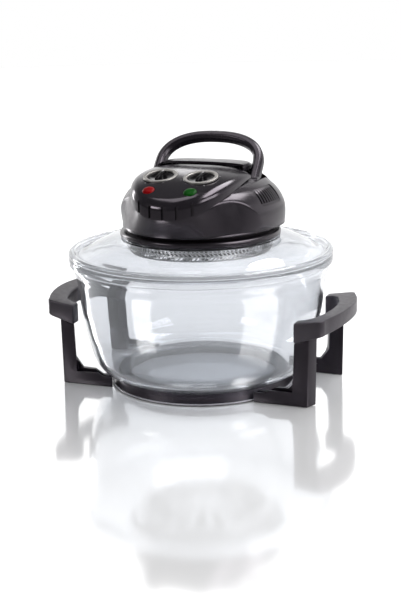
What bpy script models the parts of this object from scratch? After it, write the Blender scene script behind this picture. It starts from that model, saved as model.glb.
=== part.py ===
"""Countertop halogen oven: a glass bowl in a four-legged stand, under a glass lid that carries the
heater, fan and controls. Metres, +Z up, origin on the floor under the bowl's axis, front at -Y."""

import math

import bmesh
import bpy
from mathutils import Matrix, Vector

# Fits and walls
CLEARANCE = 0.0003
RUNNING_FIT = 0.00006
OVERRUN = 0.004
MERGE_DISTANCE = 0.00001
SHELL_WALL = 0.0025
VISOR_WALL = 0.003
SHEET_METAL = 0.001

# Steps round a turned piece
GLASS_STEPS = 40
WIDE_STEPS = 32
SMALL_STEPS = 16
POST_STEPS = 10
HEAD_STEPS = 36
VISOR_STEPS = 32
BOWL_CORNER_STEPS = 4
LID_CROWN_STEPS = 4

# Glass bowl
RING_TOP = 0.014
BOWL_RIM_RADIUS = 0.1685
BOWL_RIM_TOP = 0.1677
BOWL_RIM_ROUND = 0.003
BOWL_BOTTOM = RING_TOP + CLEARANCE
BOWL_WALL = 0.005
BOWL_FLOOR = 0.006
BOWL_CORNER = 0.030
BOWL_CORNER_START = math.radians(12)
BOWL_OUTSIDE_SHARES = (
    # radius as a share of the rim's, height as a share of the bowl's, down the outside
    (1.000, 0.985), (1.000, 0.940), (0.974, 0.878), (0.955, 0.850), (0.936, 0.720),
    (0.916, 0.520), (0.865, 0.265),
)
BOWL_INNER_POINTS = 3

# Stand
PAD_RADIUS = 0.006
PAD_HEIGHT = 0.0028
PAD_PROUD = 0.0008
RING_SEAT_INSET = 0.0042
RING_SPREAD = 0.0075
RING_LAND = 0.0155
RING_WALL = 0.003
RING_TOP_RADIUS = BOWL_RIM_RADIUS * BOWL_OUTSIDE_SHARES[-1][0] - BOWL_CORNER - RING_SEAT_INSET
RING_FOOT_RADIUS = RING_TOP_RADIUS + RING_SPREAD
RING_BORE_RADIUS = RING_TOP_RADIUS - RING_LAND
RING_DRAFT = RING_SPREAD / (RING_TOP - PAD_PROUD)
LEG_INNER_Y = 0.062
LEG_WIDTH = 0.015
LEG_MIDDLE_Y = LEG_INNER_Y + LEG_WIDTH / 2
LEG_SKEW = 0.45
POST_DEPTH = 0.0185
POST_GAP = 0.0143
POST_LEAN = 0.0015
ARM_TOP = 0.022
ARM_LOW_TOP = 0.0136
ARM_STEP_BACK = 0.0445
ARM_STEP_RUN = 0.012
GUSSET = 0.012
ARM_RECESS_DEPTH = 0.002
ARM_RECESS_LENGTH = 0.014
ARM_RECESS_HEIGHT = 0.006

# Grips
GRIP_SEAT_Z = 0.0813
GRIP_THICKNESS = 0.0245
GRIP_TILT = 0.30
GRIP_TOP_TILT = 0.15
GRIP_OVERHANG = 0.0325
GRIP_OUTER_ARC = 0.168
GRIP_BAR = 0.0225
GRIP_INNER_ARC = 0.132
GRIP_NECK = 0.003
GRIP_END_OVERHANG = 0.002
GRIP_END_OVERLAP = 0.0015
GRIP_SHOULDER = 0.007
GRIP_ROUND = 0.0035
GRIP_CORNER = 0.009
GRIP_ARC_STEPS = 6
GRIP_END_Y = LEG_INNER_Y + LEG_WIDTH + GRIP_END_OVERLAP
GRIP_SHOULDER_Y = LEG_INNER_Y - GRIP_SHOULDER

# Glass lid
LID_BEAD_HEIGHT = 0.008
LID_RISE = 0.016
LID_HOLE_RADIUS = 0.084
LID_LAND = 0.020
LID_GLASS = 0.0045
LID_SPIGOT = 0.004
LID_BEAD = 0.0085
LID_GROOVE = 0.0045
LID_FIT = 0.0009
LID_CROWN_POWER_SHARE = 0.9
# inset and drop of the bead's rounded top, as shares of the bead, from the groove outwards
LID_BEAD_SHARES = ((0.7, 0.0), (0.25, 0.0), (0.0, 0.3))
LID_RIM_RADIUS = BOWL_RIM_RADIUS
LID_RIM_TOP = BOWL_RIM_TOP + CLEARANCE + LID_BEAD_HEIGHT
LID_LAND_TOP = LID_RIM_TOP + LID_RISE
LID_LAND_RADIUS = LID_HOLE_RADIUS + LID_LAND

# Head seat: clamp ring, heat shield, guard and pan
CLAMP_INSET = 0.0015
CLAMP_STEP = 0.001
CLAMP_HEIGHT = 0.0077
CLAMP_CHAMFER = 0.003
CLAMP_RADIUS = LID_LAND_RADIUS - CLAMP_INSET
CLAMP_BORE_RADIUS = LID_HOLE_RADIUS + CLAMP_STEP
CLAMP_TOP = LID_LAND_TOP + CLEARANCE + CLAMP_HEIGHT
SHIELD_POT_GAP = 0.005
SHIELD_FLANGE = 0.008
SHIELD_POT_RADIUS = LID_HOLE_RADIUS - SHIELD_POT_GAP
SHIELD_FLANGE_RADIUS = LID_HOLE_RADIUS + SHIELD_FLANGE
SHIELD_FLANGE_TOP = LID_LAND_TOP - LID_GLASS - CLEARANCE
GUARD_RIM = 0.003
GUARD_LIP = 0.0025
GUARD_TAPER = 0.0085
GUARD_DEPTH = 0.0124
GUARD_RIM_RADIUS = SHIELD_FLANGE_RADIUS + GUARD_RIM
GUARD_TOP_RADIUS = GUARD_RIM_RADIUS - GUARD_LIP
GUARD_FOOT_RADIUS = GUARD_TOP_RADIUS - GUARD_TAPER
GUARD_FLANGE_TOP = SHIELD_FLANGE_TOP - SHEET_METAL - CLEARANCE
GUARD_BOTTOM = GUARD_FLANGE_TOP - GUARD_DEPTH
GUARD_SLOT_COUNT = 28
GUARD_SLOT_WIDTH = 0.0036
GUARD_SLOT_HEIGHT = 0.0075
GUARD_SLOT_SLANT = math.radians(28)
GUARD_SPOKE_COUNT = 16
GUARD_SPOKE_SLOT = 0.0045
# start and end of the inner and outer spokes' slots, as shares of the guard's foot
GUARD_SLOT_END_SHARES = ((0.26, 0.50), (0.56, 0.90))
NECK_FLARE = 0.005
NECK_HEIGHT = 0.007
PAN_NECK_RADIUS = LID_HOLE_RADIUS + SHIELD_FLANGE
PAN_RIM_RADIUS = PAN_NECK_RADIUS + NECK_FLARE
PAN_PLATE = 0.003
PAN_SHAFT_HOLE = 0.008
PAN_FLOOR = CLAMP_TOP + CLEARANCE + PAN_PLATE

# Head housing
HEAD_CENTRE_Y = 0.020
HEAD_BOTTOM = CLAMP_TOP + NECK_HEIGHT
HEAD_HEIGHT = 0.0765
HEAD_SIDE_OVERHANG = 0.008
HEAD_REAR_OVERHANG = 0.006
HEAD_FRONT_OVERHANG = 0.016
HEAD_HALF_WIDTH = PAN_RIM_RADIUS + HEAD_SIDE_OVERHANG
HEAD_REAR = PAN_RIM_RADIUS + HEAD_REAR_OVERHANG - HEAD_CENTRE_Y
HEAD_FRONT = PAN_RIM_RADIUS + HEAD_FRONT_OVERHANG + HEAD_CENTRE_Y
HEAD_SECTION_SHARES = (
    # height, half width, rear reach, front reach
    (0.000, 0.975, 0.988, 0.885),
    (0.130, 0.996, 1.000, 0.950),
    (0.300, 0.998, 0.991, 1.000),
    (0.435, 0.965, 0.982, 0.987),
    (0.540, 0.914, 0.960, 0.955),
    (0.640, 0.845, 0.912, 0.910),
    (0.740, 0.756, 0.838, 0.822),
    (0.830, 0.636, 0.728, 0.692),
    (0.910, 0.475, 0.553, 0.522),
    (0.970, 0.285, 0.332, 0.318),
    (1.000, 0.095, 0.110, 0.105),
)
ARCH_HEIGHT = 0.043
ARCH_DEPTH = 0.0045
ARCH_FADE_SHARE = 0.4
ARCH_MIDDLE = math.radians(-52)
ARCH_HALF_SPAN = math.radians(26)

# Control visor
VISOR_INSET = 0.0345
VISOR_NOSE = 0.010
VISOR_WIDEST_Y = -0.015
VISOR_HALF_WIDTH = HEAD_HALF_WIDTH - VISOR_INSET
VISOR_FRONT = HEAD_FRONT - HEAD_CENTRE_Y + VISOR_NOSE + VISOR_WIDEST_Y
VISOR_REAR = 0.0182
VISOR_FRONT_POWER = 2.3
VISOR_REAR_POWER = 6.0
VISOR_TOP_SINK = 0.0023
VISOR_TOP_REAR = HEAD_BOTTOM + HEAD_HEIGHT - VISOR_TOP_SINK
VISOR_TOP_DROP = 0.0295
VISOR_TOP_POWER = 2.6
VISOR_REAR_DEPTH = 0.0132
VISOR_LOW_REAR = VISOR_TOP_REAR - VISOR_REAR_DEPTH
VISOR_LOW_DROP = 0.037
VISOR_LOW_POWER = 1.9
VISOR_CROWN = 0.009
VISOR_CROWN_POWER = 3.0
VISOR_EDGE = 0.009
VISOR_EDGE_SHARE = 0.6
VISOR_LOFT_CENTRE_Y = -0.050
VISOR_RING_SHARES = (0.15, 0.45, 0.75)
VISOR_ROUND_STEPS = 3
VISOR_LENGTH = VISOR_FRONT + VISOR_REAR
VISOR_REAR_Y = VISOR_WIDEST_Y + VISOR_REAR
GROOVE_COUNT = 5
GROOVE_PITCH = 0.0172
GROOVE_WIDTH = 0.0022
GROOVE_DEPTH = 0.0014
GROOVE_HEIGHT = 0.015
REAR_CHANNEL_WIDTH = 0.0065

# Dials and lamps
DIAL_X = 0.0264
DIAL_Y = -0.0637
BEZEL_RADIUS = 0.0212
BEZEL_BORE_RADIUS = 0.0176
BEZEL_HEIGHT = 0.0022
BEZEL_PROUD = 0.0012
KNOB_GAP = 0.0008
KNOB_DISC = 0.004
KNOB_SINK = 0.001
KNOB_GRIP_WIDTH = 0.008
KNOB_GRIP_HEIGHT = 0.0075
KNOB_GRIP_SHARE = 0.93
KNOB_RADIUS = BEZEL_BORE_RADIUS - KNOB_GAP
DIAL_WELL = 0.0055
BOSS_WALL = 0.0023
BOSS_RADIUS = BEZEL_RADIUS + BOSS_WALL
BOSS_DEPTH = 0.011
SPINDLE_RADIUS = 0.003
SPINDLE_SOCKET = 0.009
SPINDLE_SEAT = 0.006
LAMP_X = 0.0267
LAMP_Y = -0.1009
LENS_RADIUS = 0.0073
LENS_PROUD = 0.0016
LENS_STEM_RADIUS = 0.005
LENS_STEM = 0.0042
LENS_DOME_SHARES = ((0.0, 1.0), (0.6, 0.85), (0.9, 0.5))
LAMP_RADIUS = 0.0058
LAMP_LENGTH = 0.011
TIMER_SIZE = (0.040, 0.034, 0.022)
THERMOSTAT_RADIUS = 0.017
THERMOSTAT_DEPTH = 0.018

# Vents and cord inlet
VENT_ANGLE = math.radians(-14)
VENT_BELOW_CREST = 0.044
VENT_LOW = HEAD_BOTTOM + HEAD_HEIGHT - VENT_BELOW_CREST
VENT_HEIGHT = 0.0165
VENT_WIDTH = 0.046
VENT_SUNK = 0.0011
VENT_SLOT_COUNT = 7
VENT_SLOT_WIDTH = 0.0026
VENT_SLOT_PITCH = 0.0058
VENT_FRAME = 0.002
INLET_RISE = 0.019
INLET_Z = HEAD_BOTTOM + INLET_RISE
INLET_RADIUS = 0.008
INLET_COLLAR = 0.003
INLET_FLANGE = 0.0025
INLET_BORE_RADIUS = 0.0036
INLET_TAIL_WALL = 0.0015
INLET_TAIL = 0.010
TERMINAL_SIZE = (0.036, 0.016, 0.016)
TERMINAL_GAP_TO_WALL = 0.022

# Carry handle
PIVOT_Y = 0.014
PIVOT_BELOW_CREST = 0.0275
PIVOT_Z = HEAD_BOTTOM + HEAD_HEIGHT - PIVOT_BELOW_CREST
HANDLE_LEAN = math.radians(42)
HANDLE_INSET = 0.0385
HANDLE_HALF_SPAN = HEAD_HALF_WIDTH - HANDLE_INSET
HANDLE_STRAIGHT = 0.028
HANDLE_REACH = 0.071
HANDLE_BEND_POWER = 2.35
HANDLE_WIDTH = 0.0144
HANDLE_DEPTH = 0.019
HANDLE_CHAMFER_SHARE = 0.3
HANDLE_FOOT_SHARE = 0.37
HANDLE_BEND_STEPS = 8
HANDLE_SLOT_FRONT = 0.0125
HANDLE_SLOT_REAR = 0.042
HANDLE_SLOT_GAP = 0.0009
CHANNEL_END_GAP = 0.0023
REAR_CHANNEL_HALF_WIDTH = HANDLE_HALF_SPAN - HANDLE_WIDTH / 2 - CHANNEL_END_GAP
CAM_RADIUS = 0.0104
CAM_RISE_PER_RADIAN = 0.0019
CAM_STEPS = 22
CAM_SPREAD = math.radians(60)
CAM_INSET = 0.0003
PIN_RADIUS = 0.003
CHEEK = 0.003
YOKE_DEPTH = 0.020
YOKE_RISE = 0.0038
YOKE_DROP = 0.030
YOKE_TOP = PIVOT_Z + YOKE_RISE
YOKE_FLOOR = PIVOT_Z - YOKE_DROP
COLUMN_WIDTH = 0.012
SWITCH_SIZE = (0.012, 0.016, 0.010)
PLUNGER_RADIUS = 0.0025
PLUNGER_BORE_SHARE = 0.8
PLUNGER_TRAVEL_ROOM = 0.003

# Motor, fans and heater
SHAFT_RADIUS = 0.0025
SHAFT_DROP = 0.012
SHAFT_END = 0.002
SHAFT_BOTTOM = CLAMP_TOP - SHAFT_DROP
BRACKET_RADIUS = 0.042
BRACKET_PLATE = 0.0025
BRACKET_RISE = 0.009
BRACKET_TOP = PAN_FLOOR + CLEARANCE + BRACKET_RISE + BRACKET_PLATE
BRACKET_POST_RADIUS = 0.004
BRACKET_POST_INSET = 0.006
BRACKET_POSTS = 3
MOTOR_RADIUS = 0.031
MOTOR_HEIGHT = 0.026
MOTOR_SHOULDER_SHARE = 0.8
HUB_RADIUS = 0.007
FAN_DISC = 0.0012
FAN_DISC_SHARE = 0.8
FAN_PHASE_SHARE = 0.3
CONVECTION_FAN_HEIGHT = 0.007
CONVECTION_FAN_LOW = GUARD_FLANGE_TOP + SHEET_METAL * 3 + CLEARANCE * 2
COOLING_FAN_RADIUS = 0.036
COOLING_FAN_GAP = 0.0026
COOLING_FAN_HEIGHT = 0.008
COOLING_FAN_LOW = BRACKET_TOP + MOTOR_HEIGHT + COOLING_FAN_GAP
SHAFT_TOP = COOLING_FAN_LOW + COOLING_FAN_HEIGHT + SHAFT_END
BLADE_COUNT = 8
BLADE_THICKNESS = 0.0012
TUBE_RADIUS = 0.005
TUBE_INSET = 0.016
TUBE_RING_RADIUS = SHIELD_POT_RADIUS - TUBE_INSET
TUBE_FAN_GAP = 0.014
CONVECTION_FAN_RADIUS = TUBE_RING_RADIUS - TUBE_FAN_GAP
TUBE_RISE = 0.008
TUBE_Z = GUARD_BOTTOM + TUBE_RISE
TUBE_GAP = math.radians(46)
TUBE_STEPS = 22
HOLDER_DEPTH = 0.017
HOLDER_WIDTH = 0.013
HOLDER_BOTTOM = GUARD_BOTTOM + SHEET_METAL * 2
HOLDER_SETBACK = math.radians(6)

BLACK = (0.018, 0.016, 0.018)
HOUSING = (0.045, 0.041, 0.046)
GRIP_GREY = (0.065, 0.060, 0.066)
GLASS = (0.92, 0.95, 0.95)
STEEL = (0.55, 0.55, 0.56)
WHITE_CERAMIC = (0.80, 0.78, 0.72)
RED = (0.24, 0.002, 0.003)
GREEN = (0.003, 0.05, 0.005)

for leftover in list(bpy.data.objects):
    bpy.data.objects.remove(leftover, do_unlink=True)

parts = bpy.data.collections.new("halogen_oven")
cutters = bpy.data.collections.new("cutters")
bpy.context.scene.collection.children.link(parts)
bpy.context.scene.collection.children.link(cutters)


def finish(obj, colour, roughness, metallic=0.0, transmission=0.0):
    """Gives an object a Principled material of its own."""
    material = bpy.data.materials.new(obj.name)
    material.use_nodes = True
    shader = material.node_tree.nodes["Principled BSDF"]
    shader.inputs["Base Color"].default_value = (*colour, 1)
    shader.inputs["Roughness"].default_value = roughness
    shader.inputs["Metallic"].default_value = metallic
    shader.inputs["Transmission Weight"].default_value = transmission
    obj.data.materials.clear()
    obj.data.materials.append(material)
    return obj


def new_object(name, bm, smooth=True):
    mesh = bpy.data.meshes.new(name)
    bm.to_mesh(mesh)
    bm.free()
    if smooth:
        mesh.shade_smooth()
        mesh.set_sharp_from_angle(angle=math.radians(35))
    obj = bpy.data.objects.new(name, mesh)
    parts.objects.link(obj)
    return obj


def as_cutter(obj):
    """Moves a helper out of the model: it cuts or joins, and is not rendered."""
    parts.objects.unlink(obj)
    cutters.objects.link(obj)
    obj.hide_render = True
    obj.display_type = "WIRE"
    return obj


def boolean(obj, other, operation):
    modifier = obj.modifiers.new(f"{operation.lower()} {other.name}", "BOOLEAN")
    modifier.operation = operation
    modifier.object = as_cutter(other) if other.name in parts.objects else other
    return obj


def cut(obj, *others):
    for other in others:
        boolean(obj, other, "DIFFERENCE")
    return obj


def join(obj, *others):
    for other in others:
        boolean(obj, other, "UNION")
    return obj


def box(name, size, centre):
    bm = bmesh.new()
    bmesh.ops.create_cube(bm, size=1, matrix=Matrix.Translation(centre) @ Matrix.Diagonal((*size, 1)))
    return new_object(name, bm, smooth=False)


def span_box(name, low, high):
    low, high = Vector(low), Vector(high)
    return box(name, high - low, (low + high) / 2)


def cylinder(name, radius, low, high, steps=SMALL_STEPS, top_radius=None):
    """A cylinder or cone along Z, from one height to another."""
    bm = bmesh.new()
    bmesh.ops.create_cone(
        bm, cap_ends=True, segments=steps, radius1=radius,
        radius2=radius if top_radius is None else top_radius, depth=high - low,
        matrix=Matrix.Translation((0, 0, (low + high) / 2)),
    )
    return new_object(name, bm)


def turned(name, profile, steps=WIDE_STEPS):
    """Turns a profile of (radius, height) points, given down the outer side. It is closed back to
    its first point unless both its ends lie on the axis."""
    mesh = bpy.data.meshes.new(name)
    corners = [(radius, 0, height) for radius, height in profile]
    edges = [(i, i + 1) for i in range(len(corners) - 1)]
    if profile[0][0] or profile[-1][0]:
        edges.append((len(corners) - 1, 0))
    mesh.from_pydata(corners, edges, [])
    obj = bpy.data.objects.new(name, mesh)
    parts.objects.link(obj)
    screw = obj.modifiers.new("turn", "SCREW")
    screw.steps = screw.render_steps = steps
    screw.use_merge_vertices = True
    screw.merge_threshold = MERGE_DISTANCE
    screw.use_smooth_shade = True
    return obj


def plate(name, outline, thickness, bevel=0.0):
    """A flat outline in XY, filled and given half its thickness each way."""
    curve = bpy.data.curves.new(name, "CURVE")
    curve.dimensions = "2D"
    curve.fill_mode = "BOTH"
    curve.extrude = thickness / 2
    spline = curve.splines.new("POLY")
    spline.points.add(len(outline) - 1)
    for point, (x, y) in zip(spline.points, outline):
        point.co = (x, y, 0, 1)
    spline.use_cyclic_u = True
    guide = bpy.data.objects.new(name + "_outline", curve)
    parts.objects.link(guide)
    obj = as_mesh(guide, name)
    if bevel:
        rounding = obj.modifiers.new("rounded edges", "BEVEL")
        rounding.width = bevel
        rounding.segments = 2
        rounding.limit_method = "ANGLE"
    return obj


def as_mesh(curve_object, name):
    """Turns a curve object into a mesh object with its caps welded, and removes the curve."""
    bpy.context.view_layer.update()
    graph = bpy.context.evaluated_depsgraph_get()
    mesh = bpy.data.meshes.new_from_object(curve_object.evaluated_get(graph))
    bm = bmesh.new()
    bm.from_mesh(mesh)
    bmesh.ops.remove_doubles(bm, verts=bm.verts, dist=MERGE_DISTANCE)
    bmesh.ops.dissolve_limit(bm, angle_limit=math.radians(0.1), verts=bm.verts, edges=bm.edges)
    bmesh.ops.recalc_face_normals(bm, faces=bm.faces)
    bm.to_mesh(mesh)
    bm.free()
    obj = bpy.data.objects.new(name, mesh)
    obj.matrix_world = curve_object.matrix_world
    parts.objects.link(obj)
    bpy.data.objects.remove(curve_object)
    return obj


def tube(name, points, radius, cyclic=False):
    curve = bpy.data.curves.new(name, "CURVE")
    curve.dimensions = "3D"
    curve.bevel_depth = radius
    curve.bevel_resolution = 2
    curve.use_fill_caps = True
    spline = curve.splines.new("POLY")
    spline.points.add(len(points) - 1)
    for point, place in zip(spline.points, points):
        point.co = (*place, 1)
    spline.use_cyclic_u = cyclic
    guide = bpy.data.objects.new(name + "_path", curve)
    parts.objects.link(guide)
    return as_mesh(guide, name)


def loft(name, rings, smooth=True):
    """Skins rings of equal count, from the first to the last, and closes both ends."""
    bm = bmesh.new()
    loops = [[bm.verts.new(point) for point in ring] for ring in rings]
    count = len(rings[0])
    for lower, upper in zip(loops, loops[1:]):
        for i in range(count):
            j = (i + 1) % count
            bm.faces.new((lower[i], lower[j], upper[j], upper[i]))
    bm.faces.new(reversed(loops[0]))
    bm.faces.new(loops[-1])
    bmesh.ops.recalc_face_normals(bm, faces=bm.faces)
    return new_object(name, bm, smooth)


def place(obj, matrix):
    """Puts a piece in place by moving its mesh, so that cutters and pieces share one frame."""
    obj.data.transform(matrix)
    return obj


def power_arc(half_width, reach, power, share):
    """A point on a superellipse quarter: share 0 is at the side, 1 at the far end."""
    angle = share * math.pi / 2
    return (
        half_width * abs(math.cos(angle)) ** (2 / power),
        reach * abs(math.sin(angle)) ** (2 / power),
    )


# Stand


def bowl_radius(height):
    """Radius of the bowl's outside at a height between its rim and its rounded foot."""
    wall = bowl_outside()
    for (outer, upper), (inner, lower) in zip(wall, wall[1:]):
        if lower <= height <= upper:
            return inner + (outer - inner) * (height - lower) / (upper - lower)
    return wall[-1][0]


def bowl_outside():
    """Points (radius, height) down the bowl's outside, from its rim to its rounded foot."""
    height = BOWL_RIM_TOP - BOWL_BOTTOM
    return [
        (BOWL_RIM_RADIUS * radius, BOWL_BOTTOM + height * level)
        for radius, level in BOWL_OUTSIDE_SHARES
    ]


# The posts stand clear of the bowl's wall, and the grips lie on the posts
POST_INNER_X = math.sqrt(bowl_radius(GRIP_SEAT_Z) ** 2 - LEG_MIDDLE_Y ** 2) + POST_GAP
LEG_OUTER_X = POST_INNER_X + POST_DEPTH
ARM_STEP_X = LEG_OUTER_X - ARM_STEP_BACK
ARM_ROOT_X = math.sqrt(RING_TOP_RADIUS ** 2 - (LEG_INNER_Y + LEG_WIDTH) ** 2) - OVERRUN
GRIP_SEAT_X = POST_INNER_X + GRIP_NECK
GRIP_END_X = POST_INNER_X - GRIP_END_OVERHANG
GRIP_REACH = LEG_OUTER_X + GRIP_OVERHANG


def base_ring():
    inner = RING_BORE_RADIUS + RING_WALL
    ceiling = RING_TOP - RING_WALL
    outer_ceiling = RING_TOP_RADIUS - RING_WALL + RING_DRAFT * RING_WALL
    profile = (
        (RING_TOP_RADIUS, RING_TOP),
        (RING_FOOT_RADIUS, PAD_PROUD),
        (RING_FOOT_RADIUS - RING_WALL, PAD_PROUD),
        (outer_ceiling, ceiling),
        (inner, ceiling),
        (inner, PAD_PROUD),
        (RING_BORE_RADIUS, PAD_PROUD),
        (RING_BORE_RADIUS, RING_TOP),
    )
    return finish(turned("base_ring", profile), BLACK, 0.35)


def ring_room():
    """The ring's outer form and a clearance, to shape the leg ends that butt against it."""
    spread = RING_DRAFT * OVERRUN
    return cylinder(
        "ring_room", RING_FOOT_RADIUS + CLEARANCE + spread, PAD_PROUD - OVERRUN,
        RING_TOP + OVERRUN, WIDE_STEPS, RING_TOP_RADIUS + CLEARANCE - spread,
    )


def grip_seat(x):
    """Height of a post's sloping top under the grip."""
    return GRIP_SEAT_Z - CLEARANCE + (x - GRIP_SEAT_X) * GRIP_TILT


def leg_outline():
    """Side view of a right-hand leg: the arm out from the ring, and the post up to the grip."""
    outer_top, inner_top = LEG_OUTER_X + POST_LEAN, POST_INNER_X + POST_LEAN
    return (
        (ARM_ROOT_X, PAD_PROUD),
        (LEG_OUTER_X, PAD_PROUD),
        (outer_top, grip_seat(outer_top)),
        (inner_top, grip_seat(inner_top)),
        (POST_INNER_X, ARM_TOP + GUSSET),
        (POST_INNER_X - GUSSET, ARM_TOP),
        (ARM_STEP_X, ARM_TOP),
        (ARM_STEP_X - ARM_STEP_RUN, ARM_LOW_TOP),
        (ARM_ROOT_X, ARM_LOW_TOP),
    )


def leg(name, side, end, room):
    """A plate cut to the leg's side view and skewed in plan, so that its post follows the bowl."""
    obj = plate(name, leg_outline(), LEG_WIDTH)
    middle_y = end * LEG_MIDDLE_Y
    place(obj, Matrix.Translation((0, middle_y, 0)) @ Matrix.Rotation(math.pi / 2, 4, "X"))
    for vertex in obj.data.vertices:
        vertex.co.x += (LEG_MIDDLE_Y - abs(vertex.co.y)) * LEG_SKEW
        if vertex.co.z > GRIP_SEAT_Z - POST_DEPTH:
            vertex.co.z = grip_seat(vertex.co.x)
    obj.data.transform(Matrix.Diagonal((side, 1, 1, 1)))
    if side < 0:
        obj.data.flip_normals()
    recess_x = POST_INNER_X - GUSSET - ARM_RECESS_LENGTH / 2
    recess = box(
        name + "_recess",
        (ARM_RECESS_LENGTH, ARM_RECESS_DEPTH + OVERRUN, ARM_RECESS_HEIGHT),
        (
            side * recess_x,
            end * (LEG_INNER_Y + (ARM_RECESS_DEPTH - OVERRUN) / 2),
            (ARM_TOP + ARM_LOW_TOP) / 2 - ARM_RECESS_DEPTH,
        ),
    )
    foot = Matrix.Translation((side * (LEG_OUTER_X - POST_DEPTH / 2), middle_y, 0))
    socket = cylinder(
        name + "_socket", PAD_RADIUS + CLEARANCE, PAD_PROUD - OVERRUN, PAD_HEIGHT + CLEARANCE
    )
    place(socket, foot)
    cut(obj, room, recess, socket)
    pad = cylinder(name.replace("leg", "pad"), PAD_RADIUS, 0, PAD_HEIGHT)
    place(pad, foot)
    finish(pad, BLACK, 0.9)
    return finish(obj, BLACK, 0.35)


def bow(x_end, radius, y):
    """An arc round the bowl that reaches furthest out at its middle."""
    return x_end - radius + math.sqrt(radius ** 2 - y ** 2)


def grip_outline():
    """Plan of the right-hand grip: a bow between two end blocks over the posts."""
    inner_x = GRIP_REACH - GRIP_BAR
    steps = GRIP_ARC_STEPS
    inner = []
    for i in range(steps + 1):
        y = GRIP_SHOULDER_Y * (2 * i / steps - 1)
        inner.append((bow(inner_x, GRIP_INNER_ARC, y), y))
    outer_y = GRIP_END_Y - GRIP_CORNER
    outer = []
    for i in range(steps + 1):
        y = outer_y * (1 - 2 * i / steps)
        outer.append((bow(GRIP_REACH, GRIP_OUTER_ARC, y), y))
    neck_y = LEG_INNER_Y - CLEARANCE
    corner_x = outer[0][0] - GRIP_CORNER
    return (
        *inner,
        (GRIP_SEAT_X + GRIP_ROUND, neck_y), (GRIP_END_X, neck_y),
        (GRIP_END_X, GRIP_END_Y), (corner_x, GRIP_END_Y),
        *outer,
        (corner_x, -GRIP_END_Y), (GRIP_END_X, -GRIP_END_Y),
        (GRIP_END_X, -neck_y), (GRIP_SEAT_X + GRIP_ROUND, -neck_y),
    )


def grip(name, side):
    """A bowed bar whose underside slopes up and outwards more than its top does."""
    obj = plate(name, grip_outline(), GRIP_THICKNESS, GRIP_ROUND)
    for vertex in obj.data.vertices:
        tilt = GRIP_TOP_TILT if vertex.co.z > 0 else GRIP_TILT
        vertex.co.z += GRIP_SEAT_Z + GRIP_THICKNESS / 2 + (vertex.co.x - GRIP_SEAT_X) * tilt
    obj.data.transform(Matrix.Diagonal((side, 1, 1, 1)))
    if side < 0:
        obj.data.flip_normals()
    return finish(obj, GRIP_GREY, 0.4)


def stand():
    base_ring()
    room = ring_room()
    for side, side_name in ((-1, "left"), (1, "right")):
        for end, end_name in ((-1, "front"), (1, "rear")):
            leg(f"leg_{end_name}_{side_name}", side, end, room)
        grip(f"grip_{side_name}", side)


# Glass


def bowl_corner(radius, centre):
    """The rounded foot of the bowl, from the wall down to the flat."""
    points = []
    for i in range(BOWL_CORNER_STEPS + 1):
        share = i / BOWL_CORNER_STEPS
        angle = BOWL_CORNER_START + (math.pi / 2 - BOWL_CORNER_START) * share
        points.append(
            (centre[0] + radius * math.cos(angle), centre[1] - radius * math.sin(angle))
        )
    return points


def glass_bowl():
    outside = bowl_outside()
    wall_radius, wall_height = outside[-1]
    centre = (wall_radius - BOWL_CORNER, BOWL_BOTTOM + BOWL_CORNER)
    outer_corner = bowl_corner(BOWL_CORNER, centre)
    inner_corner = bowl_corner(BOWL_CORNER - BOWL_FLOOR, centre)
    inside = [(radius - BOWL_WALL, height) for radius, height in outside[-BOWL_INNER_POINTS:]]
    lip = BOWL_RIM_RADIUS - LID_BEAD
    profile = (
        (BOWL_RIM_RADIUS - BOWL_RIM_ROUND, BOWL_RIM_TOP),
        *outside,
        *outer_corner,
        (0.0, BOWL_BOTTOM),
        (0.0, BOWL_BOTTOM + BOWL_FLOOR),
        *reversed(inner_corner),
        *reversed(inside),
        (lip, BOWL_RIM_TOP),
    )
    return finish(turned("glass_bowl", profile, GLASS_STEPS), GLASS, 0.03, transmission=1.0)


def lid_crown(radius):
    """Height of the lid's upper face between its groove and its land."""
    groove = LID_RIM_RADIUS - LID_BEAD - LID_GROOVE
    share = (groove - radius) / (groove - LID_LAND_RADIUS)
    return LID_RIM_TOP - LID_GROOVE + (LID_LAND_TOP - LID_RIM_TOP + LID_GROOVE) * (
        math.sin(share * math.pi / 2) ** LID_CROWN_POWER_SHARE
    )


def glass_lid():
    groove = LID_RIM_RADIUS - LID_BEAD - LID_GROOVE
    crown = [
        LID_LAND_RADIUS + (groove - LID_LAND_RADIUS) * i / LID_CROWN_STEPS
        for i in range(LID_CROWN_STEPS)
    ]
    bead_bottom = BOWL_RIM_TOP + CLEARANCE
    bead_inner = LID_RIM_RADIUS - LID_BEAD - LID_FIT
    spigot_inner = bead_inner - LID_GROOVE
    underside = [(r, lid_crown(r) - LID_GLASS) for r in reversed(crown)]
    profile = (
        (LID_HOLE_RADIUS, LID_LAND_TOP),
        *((r, lid_crown(r)) for r in crown),
        (groove, LID_RIM_TOP - LID_GROOVE),
        (LID_RIM_RADIUS - LID_BEAD, LID_RIM_TOP - LID_GROOVE / 3),
        *(
            (LID_RIM_RADIUS - LID_BEAD * inset, LID_RIM_TOP - LID_BEAD * drop)
            for inset, drop in LID_BEAD_SHARES
        ),
        (LID_RIM_RADIUS, bead_bottom),
        (bead_inner, bead_bottom),
        (bead_inner, bead_bottom - LID_SPIGOT),
        (spigot_inner, bead_bottom - LID_SPIGOT),
        *underside,
        (LID_HOLE_RADIUS, LID_LAND_TOP - LID_GLASS),
    )
    return finish(turned("glass_lid", profile, GLASS_STEPS), GLASS, 0.03, transmission=1.0)


# Head seat


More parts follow.
